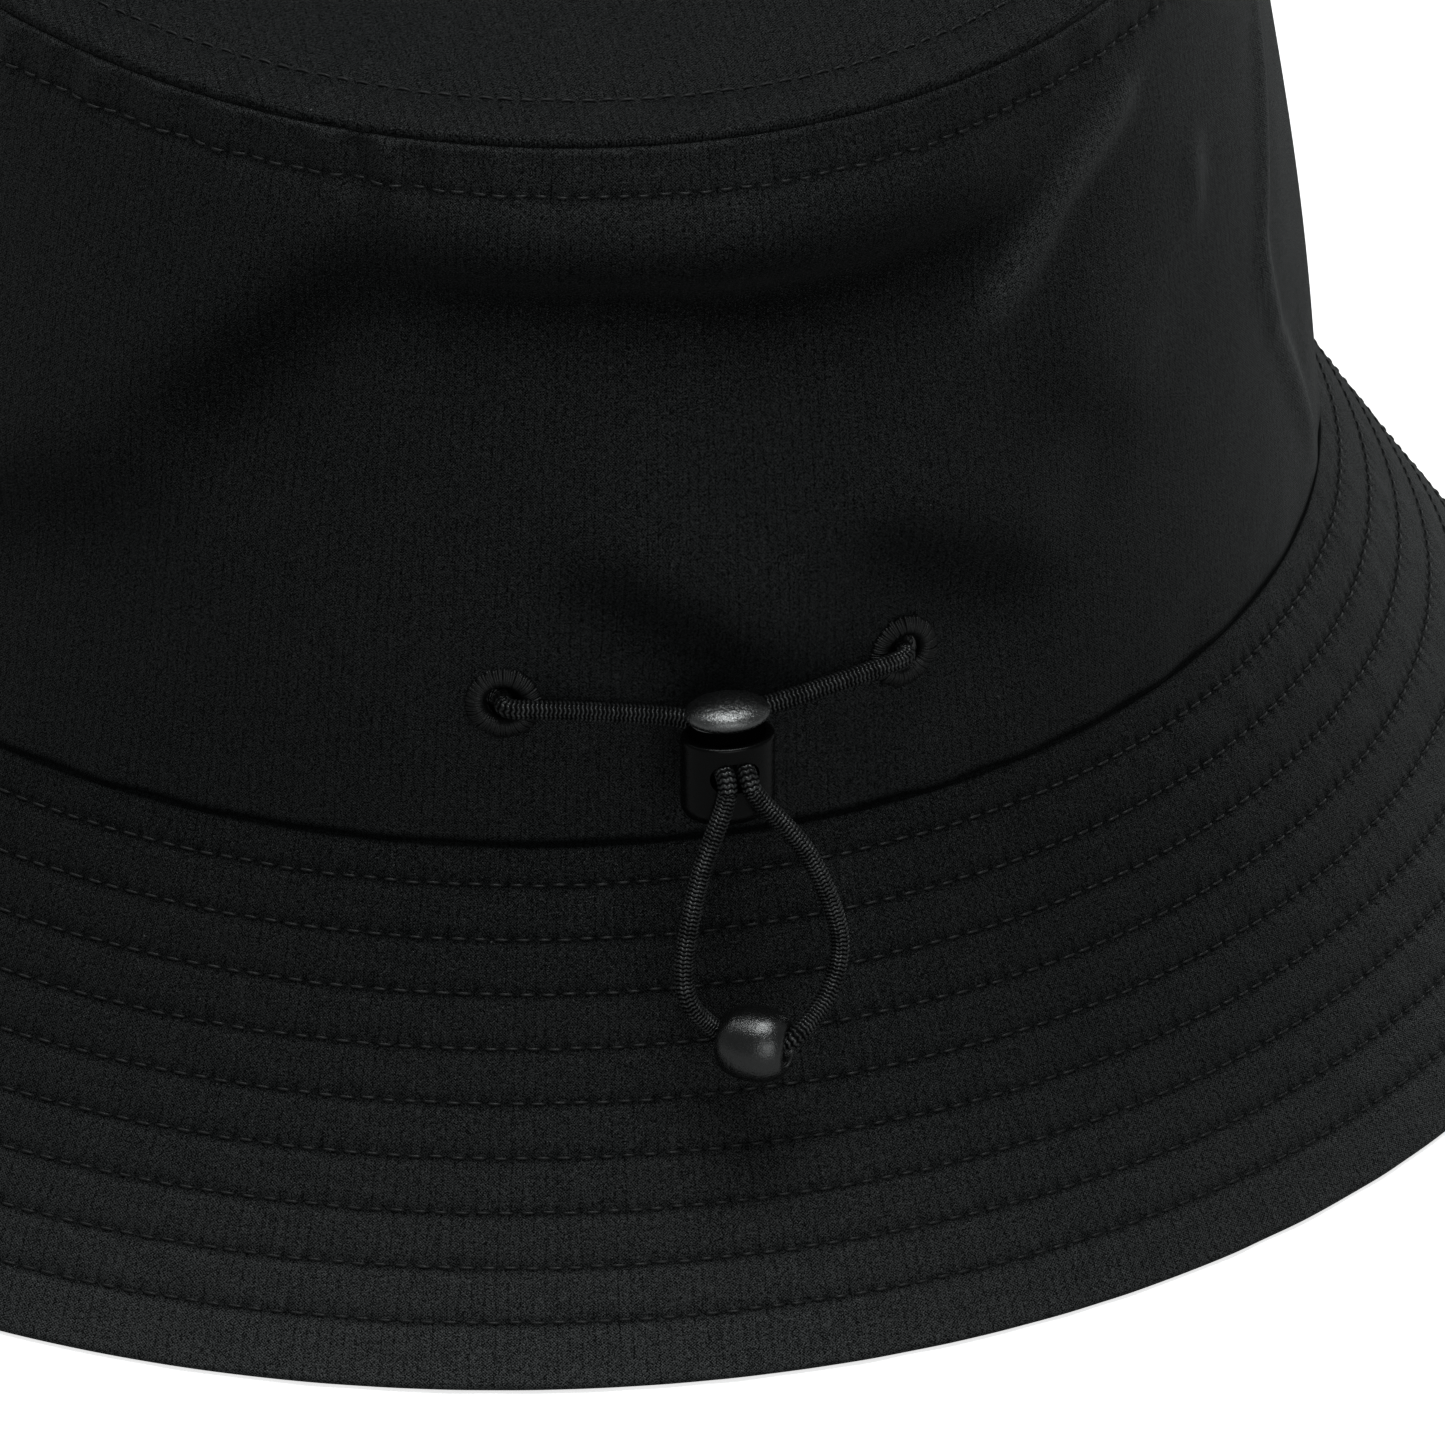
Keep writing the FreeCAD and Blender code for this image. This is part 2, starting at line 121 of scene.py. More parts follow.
BRAID_SLANT = 2.2  # how far a strand climbs across one column, in radians of the pitch
THREADS_PER_EYELET = 84
EYELET_CUT_R = 2.5 * MM  # of the hole cut in the wall
EYELET_HOLE_R = 1.95 * MM  # between the wrapped threads
EYELET_OUTER_R = 4.05 * MM
SEAM_SHADE = 2.0  # darkness of the painted shade in a seam's crease; a needle hole's is 1
PATCH_DEPTH = 1.0 * MM  # from the wall's outer face to the eyelet's round of stiffener
PATCH_THICKNESS = 0.5 * MM
SPRING_WIRE_R = 0.2 * MM
SPRING_TURNS = 3
SMOOTHING = 350  # passes that round a cord's bends
BEAD_HALF = 3.8 * MM  # half of the bead's length along its bore
BEAD_R = 4.1 * MM
BEAD_BORE = 1.85 * MM


# ---- the hat's shape
def rim(nodes, top):
    """Half width, half length, centre along Y and height of some CAD nodes' outer rim."""
    co = np.concatenate([np.array([v.co for v in frame["nodes"][n].data.vertices]) for n in nodes])
    z = co[:, 2].max() if top else co[:, 2].min()
    ring = co[np.abs(co[:, 2] - z) < 0.05 * MM]
    low, high = ring.min(0), ring.max(0)
    return np.array([(high[0] - low[0]) / 2, (high[1] - low[1]) / 2, (high[1] + low[1]) / 2, z])


EDGE = rim(["brim_upper"], False)
SEAM = rim(["brim_upper"], True)
TIP = rim(["side_band_back", "side_band_front"], True)
SWEAT = rim(["sweatband"], False)
SWEAT_TOP = rim(["sweatband"], True)
DOME_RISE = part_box("tip_panel")[1].z - TIP[3]
WALL = TIP[3] - SEAM[3]
SLOPE = math.hypot(SEAM[3] - EDGE[3], EDGE[1] - SEAM[1])


def on_oval(oval, turn):
    """Points on ovals: oval is (..., 4), turn is radians from the centre back."""
    x = oval[..., 0] * np.sin(turn)
    y = oval[..., 2] - oval[..., 1] * np.cos(turn)
    return np.stack([x, y, oval[..., 3] + 0 * x], -1)


def oval_way(oval, turn):
    """Level outward directions on ovals."""
    return unit(np.stack([np.sin(turn) / oval[..., 0], -np.cos(turn) / oval[..., 1], 0 * turn], -1))


def turn_of(point):
    """How far round the hat some points are."""
    return np.arctan2(point[..., 0] / SEAM[0], -(point[..., 1] - SEAM[2]) / SEAM[1])


def part_of(point):
    """How far up the wall some points are, as a part of its height."""
    return (point[..., 2] - SEAM[3]) / WALL


def degrees_of(turn):
    """Turn as degrees from the centre back, -180 to 180."""
    return np.degrees((turn + math.pi) % TURN - math.pi)


def round_ways(side, other, angle):
    """Directions at some angles round a line, from two directions across it."""
    return side[..., None, :] * np.cos(angle)[:, None] + other[..., None, :] * np.sin(angle)[:, None]


def unit(v):
    return v / np.maximum(np.linalg.norm(v, axis=-1, keepdims=True), 1e-12)


def surface_normals(grid):
    """Outward normals of a (rows, columns, 3) grid that closes round its columns; rows run upwards."""
    round_way = np.roll(grid, -1, 1) - np.roll(grid, 1, 1)
    up = np.gradient(grid, axis=0)
    return unit(np.cross(round_way, up))


def bump(x, width):
    return np.exp(-0.5 * (x / width) ** 2)


def waves(turn, height, seed, count, low, high):
    """Smooth seeded unevenness round the hat, about -1 to 1."""
    draw = np.random.default_rng(seed)
    total = 0
    for _ in range(count):
        across = draw.integers(low, high)
        total = total + np.sin(across * turn + draw.uniform(-4, 4) * height + draw.uniform(0, TURN))
    return total / math.sqrt(count)


# Creases in the back of the wall: start and end as (degrees from the centre back, part of the
# wall's height), width in mm, and depth or height in mm.
FOLDS = (
    ((-24, 0.81), (3, 0.80), 4.6, 4.4),
    ((0, 0.785), (23, 0.81), 5.6, 5.0),
    ((-41, 0.55), (-27, 0.83), 4.6, 3.4),
    ((-60, 0.30), (-41, 0.47), 6.0, 2.4),
    ((-9, 0.40), (5, 0.22), 4.0, 2.4),
    ((12, 0.40), (26, 0.26), 4.5, 2.6),
    ((26, 0.56), (36, 0.42), 5.0, 1.3),
)
RIDGES = (
    ((39, 0.87), (30.3, 0.795), 1.7, 1.1),
    ((30.3, 0.795), (23, 0.65), 1.7, 1.1),
    ((47, 0.72), (46, 0.62), 1.8, 0.5),
    ((64, 0.76), (56.8, 0.456), 1.5, 0.9),
    ((56.8, 0.456), (58.2, 0.337), 1.5, 0.9),
    ((58.2, 0.337), (68, 0.02), 1.5, 0.9),
)
DEGREE = 1.6  # mm along the wall per degree
CREASE_END = 10  # how sharply a crease stops at its ends
FOLD_SHADE = 0.26  # how much darker a fold is painted per mm of depth, as painted shade
RIDGE_HIGHLIGHT = 1.3  # how much lighter a ridge is painted per mm of height, as a painted highlight


def beside(degrees, part, start, end):
    """Distance in mm to one side of a line, and a weight that fades at its ends."""
    ax, ay = start[0] * DEGREE, start[1] * WALL / MM
    bx, by = end[0] * DEGREE, end[1] * WALL / MM
    px, py = degrees * DEGREE, part * WALL / MM
    length = math.hypot(bx - ax, by - ay)
    ux, uy = (bx - ax) / length, (by - ay) / length
    along = ((px - ax) * ux + (py - ay) * uy) / length
    across = (py - ay) * ux - (px - ax) * uy
    return across, 1 / (1 + np.exp(-CREASE_END * along)) / (1 + np.exp(CREASE_END * (along - 1)))


def fold(degrees, part, start, end, width, depth):
    """A soft crease from start to end: the wall stands out above it and in below."""
    across, fade = beside(degrees, part, start, end)
    return depth * MM * np.tanh(0.9 * across / width) * np.exp(-np.abs(across) / (3.2 * width)) * fade


def ridge(degrees, part, start, end, width, height):
    """A raised soft crease line between two points of the wall."""
    across, fade = beside(degrees, part, start, end)
    return height * MM * bump(across, width) * fade


def wall_painted_light(turn, part):
    """Painted light and shade on the wall: a painted highlight along raised creases, painted shade inside
    the folds.
    """
    degrees = degrees_of(turn)
    total = 0 * degrees * part
    for start, end, width, depth in FOLDS:
        across, fade = beside(degrees, part, start, end)
        total -= FOLD_SHADE * depth * bump(across + 0.3 * width, 0.9 * width) * fade
    for start, end, width, height in RIDGES:
        across, fade = beside(degrees, part, start, end)
        total += RIDGE_HIGHLIGHT * height * bump(across, 1.2 * width) * fade
    return np.clip(total, -1.2, 1.6)


def wall_relief(turn, part):
    """How far the wall stands out from its plain oval: folds, creases and gathers."""
    degrees = degrees_of(turn)
    swell = np.sin(np.pi * np.clip(part, 0, 1))
    out = WALL_SWELL * swell
    loose = 0 * degrees * part
    for crease in FOLDS:
        loose += fold(degrees, part, *crease)
    for crease in RIDGES:
        loose += ridge(degrees, part, *crease)
    held = np.clip(part / 0.12, 0, 1) * np.clip((1 - part) / 0.13, 0, 1)
    out += loose * held * held * (3 - 2 * held)
    away = np.clip((np.abs(degrees) - 50) / 40, 0, 1)
    out += away * WALL_SLACK * waves(turn, part * 2.0, seed=3, count=5, low=3, high=9) * swell ** 0.7
    out += away * side_folds(degrees, part)
    gather = np.clip((part - 0.90) / 0.05, 0, 1) * np.clip((1 - part) / 0.02, 0.5, 1)
    calm = 0.35 + 0.65 * np.clip((-degrees - 5) / 25, 0, 1) + 0.5 * away
    out += GATHER * gather * calm * waves(turn, part * 3, seed=5, count=6, low=35, high=100)
    base = np.clip(1 - part / 0.12, 0, 1)
    out += BASE_GATHER * base * waves(turn, part, seed=9, count=5, low=20, high=60)
    return out


def side_folds(degrees, part):
    """Soft creases on the parts of the wall away from the centre back."""
    draw = np.random.default_rng(21)
    total = 0
    for _ in range(16):
        where = draw.uniform(70, 290)
        where = where - 360 if where > 180 else where
        low = draw.uniform(0.1, 0.6)
        start = (where, low)
        end = (where + draw.uniform(-22, 22), low + draw.uniform(0.1, 0.35))
        total = total + fold(degrees, part, start, end, draw.uniform(3.5, 6.5), draw.uniform(-1.4, 1.4))
    return total


def wall_point(turn, part, out=0.0):
    """A point on the finished wall, with its outward direction."""
    turn, part = np.broadcast_arrays(np.asarray(turn, float), np.asarray(part, float))
    oval = SEAM + (TIP - SEAM) * part[..., None]
    point = on_oval(oval, turn)
    way = oval_way(oval, turn)
    return point + way * (wall_relief(turn, part) + out)[..., None], way


def row_place(part):
    """The nearest brim row to a part of the slope, and the distance to it."""
    step = (LAST_ROW - FIRST_ROW) / (BRIM_ROWS - 1)
    index = np.clip(np.round((part - FIRST_ROW) / step), 0, BRIM_ROWS - 1)
    return index, (part - FIRST_ROW - index * step) * SLOPE


def row_count(index):
    """How many stitches brim row index has, all the way round."""
    return np.round((CROWN_ROUND + (index * ROW_STEP + FIRST_ROW) * ROW_GROWTH) / STITCH_PITCH)


def pinch(phase):
    """How deep a stitch row's groove is along the row: deepest at the needle holes."""
    return 0.72 + 0.28 * np.cos(phase)


def needle_hole_shade(off, phase):
    """Painted shade of a row of needle holes and its groove, by the distance from it and the place along
    it.
    """
    return bump(off, PULL_WIDTH) * (0.35 + 0.65 * (0.5 + 0.5 * np.cos(phase)) ** 2)


def brim_relief(turn, part):
    """Puffed cloth between the brim's rows, pinched at each needle hole."""
    index, off = row_place(part)
    groove = ROW_GROOVE * bump(off, 0.75 * MM) * pinch(row_count(index) * turn)
    inside = np.clip(part / 0.03, 0, 1)
    pucker = waves(turn, part * 9, seed=11, count=7, low=45, high=110) * (1 - bump(off, 1.4 * MM))
    outward = np.clip(part, 0, 1) ** 1.5 * (1 - 0.5 * part)
    slow = 0.5 * MM * waves(turn, part, seed=13, count=4, low=2, high=6) * outward
    return -groove + (0.07 * MM * pucker) * inside + slow


def brim_point(turn, part, out=0.0):
    """A point on the brim's upper face, with its outward direction."""
    turn, part = np.broadcast_arrays(np.asarray(turn, float), np.asarray(part, float))
    oval = SEAM + (EDGE - SEAM) * part[..., None]
    point = on_oval(oval, turn)
    run = EDGE[1] - SEAM[1]
    drop = SEAM[3] - EDGE[3]
    way = unit(oval_way(oval, turn) * drop + UP * run)
    sag = -BRIM_SAG * np.sin(np.pi * np.clip(part, 0, 1))
    return point + way * (brim_relief(turn, part) + sag + out)[..., None], way


def tip_point(turn, reach, out=0.0):
    """A point on the domed top: reach is 0 at its centre and 1 at its seam."""
    turn, reach = np.broadcast_arrays(np.asarray(turn, float), np.asarray(reach, float))
    x = TIP[0] * reach * np.sin(turn)
    y = TIP[2] - TIP[1] * reach * np.cos(turn)
    rise = DOME_RISE * (1 - reach ** DOME_POWER)
    slope = DOME_RISE * DOME_POWER * reach ** (DOME_POWER - 1) / TIP[1]
    way = unit(np.stack([slope * np.sin(turn), -slope * np.cos(turn), 1 + 0 * turn], -1))
    inner = np.clip(1 - reach, 0, 1) ** 0.5
    soft = 0.9 * MM * waves(turn, reach * 2, seed=17, count=4, low=1, high=4) * inner * reach
    from_seam = (1 - reach) * TIP[0]
    groove = TIP_GROOVE * bump(from_seam - TOPSTITCH_OFFSET, 0.8 * MM) * pinch(tip_count() * turn)
    gather = 0.15 * MM * bump(from_seam - 2.8 * MM, 1.4 * MM)
    gather = gather * waves(turn, reach, seed=19, count=6, low=50, high=110)
    out = out + soft - groove + gather + TIP_LIFT
    return np.stack([x, y, TIP[3] + rise], -1) + way * out[..., None], way


def tip_count():
    """How many stitches the top panel's row has."""
    return round(0.92 * TURN * (TIP[0] + TIP[1]) / 2 / STITCH_PITCH)


# ---- mesh helpers
def add_mesh(name, points, faces, body, material, uv=None):
    """One visible piece, riding on a body unless that comes later."""
    mesh = bpy.data.meshes.new(name)
    mesh.from_pydata(np.asarray(points, float).reshape(-1, 3).tolist(), [], faces)
    mesh.polygons.foreach_set("use_smooth", [True] * len(mesh.polygons))
    if uv is not None:
        layer = mesh.uv_layers.new(name="cloth")
        layer.data.foreach_set("uv", np.asarray(uv, np.float32).ravel())
    mesh.update()
    piece = bpy.data.objects.new(name, mesh)
    bpy.context.scene.collection.objects.link(piece)
    mesh.materials.append(material)
    if body:
        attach(piece, body)
    return piece


def ring_faces(rows, columns, close_rows=False):
    """Quads of a grid that closes round its columns, and their corners' rows and columns."""
    r = np.arange(rows if close_rows else rows - 1)
    c = np.arange(columns)
    r, c = np.meshgrid(r, c, indexing="ij")
    r, c = r.ravel(), c.ravel()
    corners = [(r, c), (r, c + 1), (r + 1, c + 1), (r + 1, c)]
    faces = np.stack([(a % rows) * columns + b % columns for a, b in corners], -1)
    return faces, np.stack([np.stack([a, b], -1) for a, b in corners], 1)


def tube_faces(count, rings, sides):
    """Faces of many capped tubes, each with its own rings of points."""
    one, _ = ring_faces(rings, sides)
    starts = np.arange(count) * rings * sides
    faces = (one[None] + starts[:, None, None]).reshape(-1, 4).tolist()
    for start in starts.tolist():
        faces.append([start + i for i in range(sides)][::-1])
        faces.append([start + (rings - 1) * sides + i for i in range(sides)])
    return faces


def lengths_along(line):
    """How far along a line of points each one is."""
    return np.concatenate([[0], np.cumsum(np.linalg.norm(np.diff(line, axis=0), axis=1))])


def sheet_ring(name, outer, inner, round_length, body, material, up_lengths):
    """A closed ring of cloth: outer and inner are (rows, columns, 3) grids, rows running upwards."""
    points = np.concatenate([outer, inner[::-1]], 0)
    rows, columns = points.shape[:2]
    faces, corners = ring_faces(rows, columns, True)
    lengths = np.concatenate([up_lengths, up_lengths[::-1], up_lengths[:1]])
    uv = np.stack([corners[..., 1] / columns * round_length, lengths[corners[..., 0]]], -1)
    return add_mesh(name, points, faces.tolist(), body, material, uv)


def disc_sheet(name, outer, inner, body, material):
    """A closed disc of cloth: grids run from the rim (row 0) to near the centre."""
    rows, columns = outer.shape[:2]
    centre_out = outer[-1].mean(0)
    centre_in = inner[-1].mean(0)
    grid = np.concatenate([inner[::-1], outer], 0)
    points = np.concatenate([grid.reshape(-1, 3), [centre_in, centre_out]])
    faces, _ = ring_faces(2 * rows, columns)
    faces = faces.tolist()
    last = (2 * rows - 1) * columns
    middle = 2 * rows * columns
    for c in range(columns):
        following = (c + 1) % columns
        faces.append([following, c, middle])
        faces.append([last + c, last + following, middle + 1])
    flat = [i for face in faces for i in face]
    uv = points[flat][:, :2]
    return add_mesh(name, points, faces, body, material, uv)


def rolled(points, ways, down, count=9):
    """Rows that turn a sheet's edge inwards from its first row; down points out of the edge."""
    rows = []
    for i in range(count, 0, -1):
        angle = ROLL_TURN * i / count
        inwards = ways[0] * ROLL * (1 - math.cos(angle))
        rows.append(points[0] + down[0] * ROLL * math.sin(angle) - inwards)
    return np.array(rows)


def rolled_top(points, ways):
    """The same for a sheet's last row."""
    return rolled(points[::-1], ways[::-1], unit(points[-1:] - points[-2:-1]))[::-1]


# ---- node materials
class Nodes:
    """Short calls for building one material's node tree."""

    def __init__(self, name):
        self.material = bpy.data.materials.new(name)
        self.material.use_nodes = True
        self.tree = self.material.node_tree
        self.shader = self.tree.nodes["Principled BSDF"]
        self.place = self.add("ShaderNodeTexCoord").outputs["Object"]

    def attribute(self, name):
        return self.add("ShaderNodeAttribute", attribute_name=name).outputs["Fac"]

    def add(self, kind, inputs=(), **settings):
        node = self.tree.nodes.new(kind)
        for key, value in settings.items():
            setattr(node, key, value)
        for key, value in dict(inputs).items():
            self.put(node.inputs[key], value)
        return node

    def put(self, socket, value):
        if hasattr(value, "is_linked"):
            self.tree.links.new(value, socket)
        else:
            socket.default_value = value

    def math(self, operation, a, b=0.0, c=0.0):
        return self.add("ShaderNodeMath", {0: a, 1: b, 2: c}, operation=operation).outputs[0]

    def times(self, a, b):
        return self.math("MULTIPLY", a, b)

    def times_plus(self, a, b, c):
        return self.math("MULTIPLY_ADD", a, b, c)

    def noise(self, scale, detail=3.0, roughness=0.5):
        inputs = {"Vector": self.place, "Scale": scale, "Detail": detail, "Roughness": roughness}
        return self.add("ShaderNodeTexNoise", inputs).outputs["Fac"]

    def spread(self, value, low, high, to_low, to_high):
        inputs = {"Value": value, "From Min": low, "From Max": high, "To Min": to_low, "To Max": to_high}
        return self.add("ShaderNodeMapRange", inputs).outputs["Result"]

    def mix(self, factor, a, b):
        return self.add("ShaderNodeMix", {0: factor, 6: a, 7: b}, data_type="RGBA").outputs[2]

    def scaled(self, colour, factor):
        return self.add("ShaderNodeVectorMath", {0: colour, 3: factor}, operation="SCALE").outputs[0]

    def cells(self, scale):
        inputs = {"Vector": self.place, "Scale": scale}
        return self.add("ShaderNodeTexVoronoi", inputs, feature="F1").outputs["Distance"]

    def bump(self, height, distance):
        node = self.add("ShaderNodeBump", {"Height": height, "Distance": distance, "Strength": 1.0})
        self.put(self.shader.inputs["Normal"], node.outputs["Normal"])

    def finish(self, colour, roughness, **others):
        self.put(self.shader.inputs["Base Color"], colour)
        self.put(self.shader.inputs["Roughness"], roughness)
        for key, value in others.items():
            self.put(self.shader.inputs[key.replace("_", " ")], value)
        return self.material


def grey(value, warm=0.0):
    """A near-neutral colour; warm shifts it from blue-grey to brown-grey."""
    return (value * (1 + warm), value, value * (1 - warm / 3), 1.0)


def cloth_material(name, shade, rib):
    """Fine plain weave with upright ribs, a mottled tint, lint and a faint sheen."""
    n = Nodes(name)
    uv = n.add("ShaderNodeUVMap", uv_map="cloth").outputs["UV"]
    axes = n.add("ShaderNodeSeparateXYZ", {"Vector": uv})
    across = n.times_plus(n.noise(180.0), RIB_WANDER, axes.outputs["X"])
    wave = n.math("SINE", n.times(across, TURN / rib))
    ribs = n.math("POWER", n.times_plus(wave, 0.5, 0.5), 14.0)
    warp = n.math("SINE", n.times(across, TURN / YARN))
    weft = n.math("SINE", n.times(axes.outputs["Y"], TURN / (0.9 * YARN)))
    over_under = n.times(warp, weft)
    grain = n.spread(n.noise(5500.0, 2.0, 0.6), 0.36, 0.64, 0, 1)
    ribs = n.times(ribs, n.spread(n.noise(90.0, 2.0), 0.38, 0.62, 0.75, 1.0))
    weave = n.times_plus(ribs, -RIB_DEPTH, n.times(over_under, 0.3))
    weave = n.times_plus(grain, 0.8, weave)
    mottle = n.noise(60.0, 5.0, 0.62)
    tint = n.mix(n.spread(mottle, 0.38, 0.62, 0, 1), grey(shade * 0.9, -0.14), grey(shade * 1.12, -0.06))
    # The colour follows the weave's height, as the bump does: painted shade in the hollows, painted light
    # on the raised yarns.
    lit = n.spread(weave, 0.0, 0.8, 0.2, 1.8)
    colour = n.scaled(tint, lit)
    # Painted light and shade from the pieces' marks; it scales the gloss as well.
    lift = n.times_plus(n.attribute("painted_light_and_shade"), 0.45, 1.0)
    colour = n.scaled(colour, lift)
    # Painted shade at needle holes, stitch grooves and seams.
    stitch_shade = n.attribute("painted_stitch_shade")
    colour = n.mix(n.times(stitch_shade, 0.3), colour, grey(shade * 0.08))
    few = n.math("GREATER_THAN", n.noise(95.0, 0.0), 0.60)
    lint = n.times(n.math("LESS_THAN", n.cells(300.0), 0.035), few)
    colour = n.mix(n.times(lint, 0.6), colour, grey(0.12))
    n.bump(weave, WEAVE_DEPTH)
    rough = n.spread(mottle, 0.3, 0.7, 0.50, 0.62)
    gloss = n.times(n.spread(weave, 0.1, 0.9, 0.02, 0.42), n.times(lift, lift))
    glint = n.math("GREATER_THAN", n.noise(6500.0, 1.0), 0.64)
    gloss = n.times_plus(glint, 0.45, gloss)
    gloss = n.times(gloss, n.times_plus(stitch_shade, -0.8, 1.0))
    return n.finish(colour, rough, Sheen_Weight=0.04, Sheen_Roughness=0.35, Specular_IOR_Level=gloss)


def soft_material(name, shade, scale):
    """A dull soft sheet: knit sweatband or felted stiffener."""
    n = Nodes(name)
    loops = n.cells(scale)
    mottle = n.noise(90.0, 4.0)
    colour = n.mix(n.spread(mottle, 0.35, 0.65, 0, 1), grey(shade * 0.85), grey(shade * 1.2, 0.02))
    n.bump(loops, 0.12 * MM)
    return n.finish(colour, 0.85, Sheen_Weight=0.1, Specular_IOR_Level=0.2)


def thread_material(name, shade):
    """Twisted polyester thread with a slight gloss."""
    n = Nodes(name)
    fibre = n.noise(6500.0, 2.0)
    slow = n.noise(300.0, 2.0)
    colour = n.mix(n.spread(slow, 0.35, 0.65, 0, 1), grey(shade * 0.8, -0.04), grey(shade * 1.25, -0.02))
    n.bump(fibre, 0.05 * MM)
    return n.finish(colour, 0.42, Specular_IOR_Level=0.34)


def cord_material(name, shade):
    """Braided elastic: strand crowns painted bright and furrows between them painted dark, as painted
    light and shade.
    """
    n = Nodes(name)
    fibre = n.noise(5200.0, 2.0)
    slow = n.noise(700.0, 2.0)
    crown = n.spread(n.times_plus(fibre, 0.5, n.attribute("lay")), 0.35, 1.35, 0, 1)
    crown = n.times(crown, n.spread(slow, 0.3, 0.7, 0.6, 1.4))
    # Painted shade in the furrows and painted light on the crowns.
    colour = n.mix(crown, grey(shade * 0.15, -0.04), grey(shade * 2.0, -0.04))
    n.bump(fibre, 0.03 * MM)
    gloss = n.spread(crown, 0.2, 1, 0.02, 0.9)
    return n.finish(colour, 0.33, Specular_IOR_Level=gloss)


def plastic_material(name, shade, roughness, speckle, shine, ior=1.5, stem_top=None):
    """Moulded plastic whose fine grain, speckle deep, breaks up its highlight; below stem_top painted dark
    and without shine, as painted shade under the button's head.
    """
    n = Nodes(name)
    grain = n.noise(2800.0, 3.0, 0.6)
    pits = n.noise(9000.0, 1.0)
    wear = n.noise(250.0, 3.0)
    height = n.math("ADD", grain, n.times(pits, 0.5))
    colour = n.mix(n.spread(wear, 0.4, 0.6, 0, 1), grey(shade * 0.9, -0.03), grey(shade * 1.15, -0.03))
    n.bump(height, speckle)
    rough = n.spread(grain, 0.3, 0.7, roughness * 0.8, roughness * 1.25)
    if stem_top is not None:
        height = n.add("ShaderNodeSeparateXYZ", {"Vector": n.place}).outputs["Z"]
        # Painted shade: the stem under the button's head is painted dark and loses its shine.
        head = n.math("GREATER_THAN", height, stem_top)
        shine = n.times(head, shine)
        colour = n.mix(head, grey(shade * 0.3), colour)
    return n.finish(colour, rough, Specular_IOR_Level=shine, IOR=ior)


def steel_material(name):
    """Drawn wire: bare metal, a little uneven."""
    n = Nodes(name)
    drawn = n.noise(2500.0, 2.0)
    colour = n.mix(drawn, grey(0.45), grey(0.65))
    return n.finish(colour, n.spread(drawn, 0.3, 0.7, 0.2, 0.35), Metallic=1.0)


# Below this height the button's stem gets painted shade.
HEAD_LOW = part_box("cord_lock_button")[1].z - 2.75 * MM
SHELL = cloth_material("shell_ripstop", shade=0.0085, rib=RIB)
LINING = cloth_material("lining_weave", shade=0.008, rib=0.6 * MM)
KNIT = soft_material("sweatband_knit", shade=0.009, scale=1500.0)
FELT = soft_material("stiffener_felt", shade=0.30, scale=900.0)
THREAD = thread_material("polyester_thread", shade=0.011)
SATIN = thread_material("embroidery_thread", shade=0.005)
CORD = cord_material("braided_elastic", shade=0.012)
MATT = plastic_material("lock_matt_plastic", shade=0.0015, roughness=0.24, speckle=0.020 * MM, shine=0.16)
GLOSS = plastic_material("button_satin_plastic", shade=0.005, roughness=0.26, speckle=0.07 * MM,
                         shine=0.8, ior=2.0, stem_top=HEAD_LOW)
BEAD = plastic_material("bead_satin_plastic", shade=0.004, roughness=0.25, speckle=0.05 * MM,
                        shine=0.6, ior=1.7)
STEEL = steel_material("spring_steel")


# ---- crown and brim cloth
def round_turns(count):
    """Evenly spaced turns round a ring."""
    return np.arange(count) / count * TURN


def side_band():
    """The crown's wall as one closed ring, rolled inwards at both seams."""
    turn = round_turns(900)
    parts = np.concatenate([np.linspace(0.003, 0.9, 84), np.linspace(0.9, 0.986, 26)[1:]])
    outer, way = wall_point(turn[None, :], parts[:, None])
    off = ((1 - parts) * WALL - TOPSTITCH_OFFSET)[:, None]
    phase = (band_count() * turn)[None, :]
    groove = ROW_GROOVE * bump(off, 0.8 * MM) * pinch(phase)
    outer -= way * groove[..., None]
    outer -= way * (side_seam(turn) * SEAM_LINE)[None, :, None]
    low = rolled(outer, way, unit(outer[:1] - outer[1:2]))
    high = rolled_top(outer, way)
    outer = np.concatenate([low, outer, high])
    inner = outer - surface_normals(outer) * CLOTH
    lengths = lengths_along(outer[:, 0])
    piece = sheet_ring("side_band_cloth", outer, inner, CROWN_ROUND, None, SHELL, lengths)
    # Painted shade: darker at the needle holes and their groove, and in the seam's crease at the foot of
    # the wall.
    pulled = needle_hole_shade(off, phase) + SEAM_SHADE * bump(parts * WALL, 0.3 * MM)[:, None]
    mark(piece, "painted_stitch_shade", pulled, len(low), len(high))
    # Painted light and shade from the creases: a painted highlight on the ridges, painted shade in the
    # folds.
    mark(piece, "painted_light_and_shade", wall_painted_light(turn[None, :], parts[:, None]), len(low), len(high))
    for name in ("eyelet_left", "eyelet_right"):
        cut_eyelet_hole(piece, *eyelet_frame(name)[:2])
    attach(piece, "hat")
    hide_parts("side_band_back", "side_band_front")


def band_count():
    """How many stitches the wall's row has."""
    return round(TURN * (TIP[0] + TIP[1]) / 2 / STITCH_PITCH)


def side_seam(turn):
    """1 on the two side seams, fading out over a fraction of a millimetre."""
    return bump(np.abs(degrees_of(turn)) - 90, 0.45)


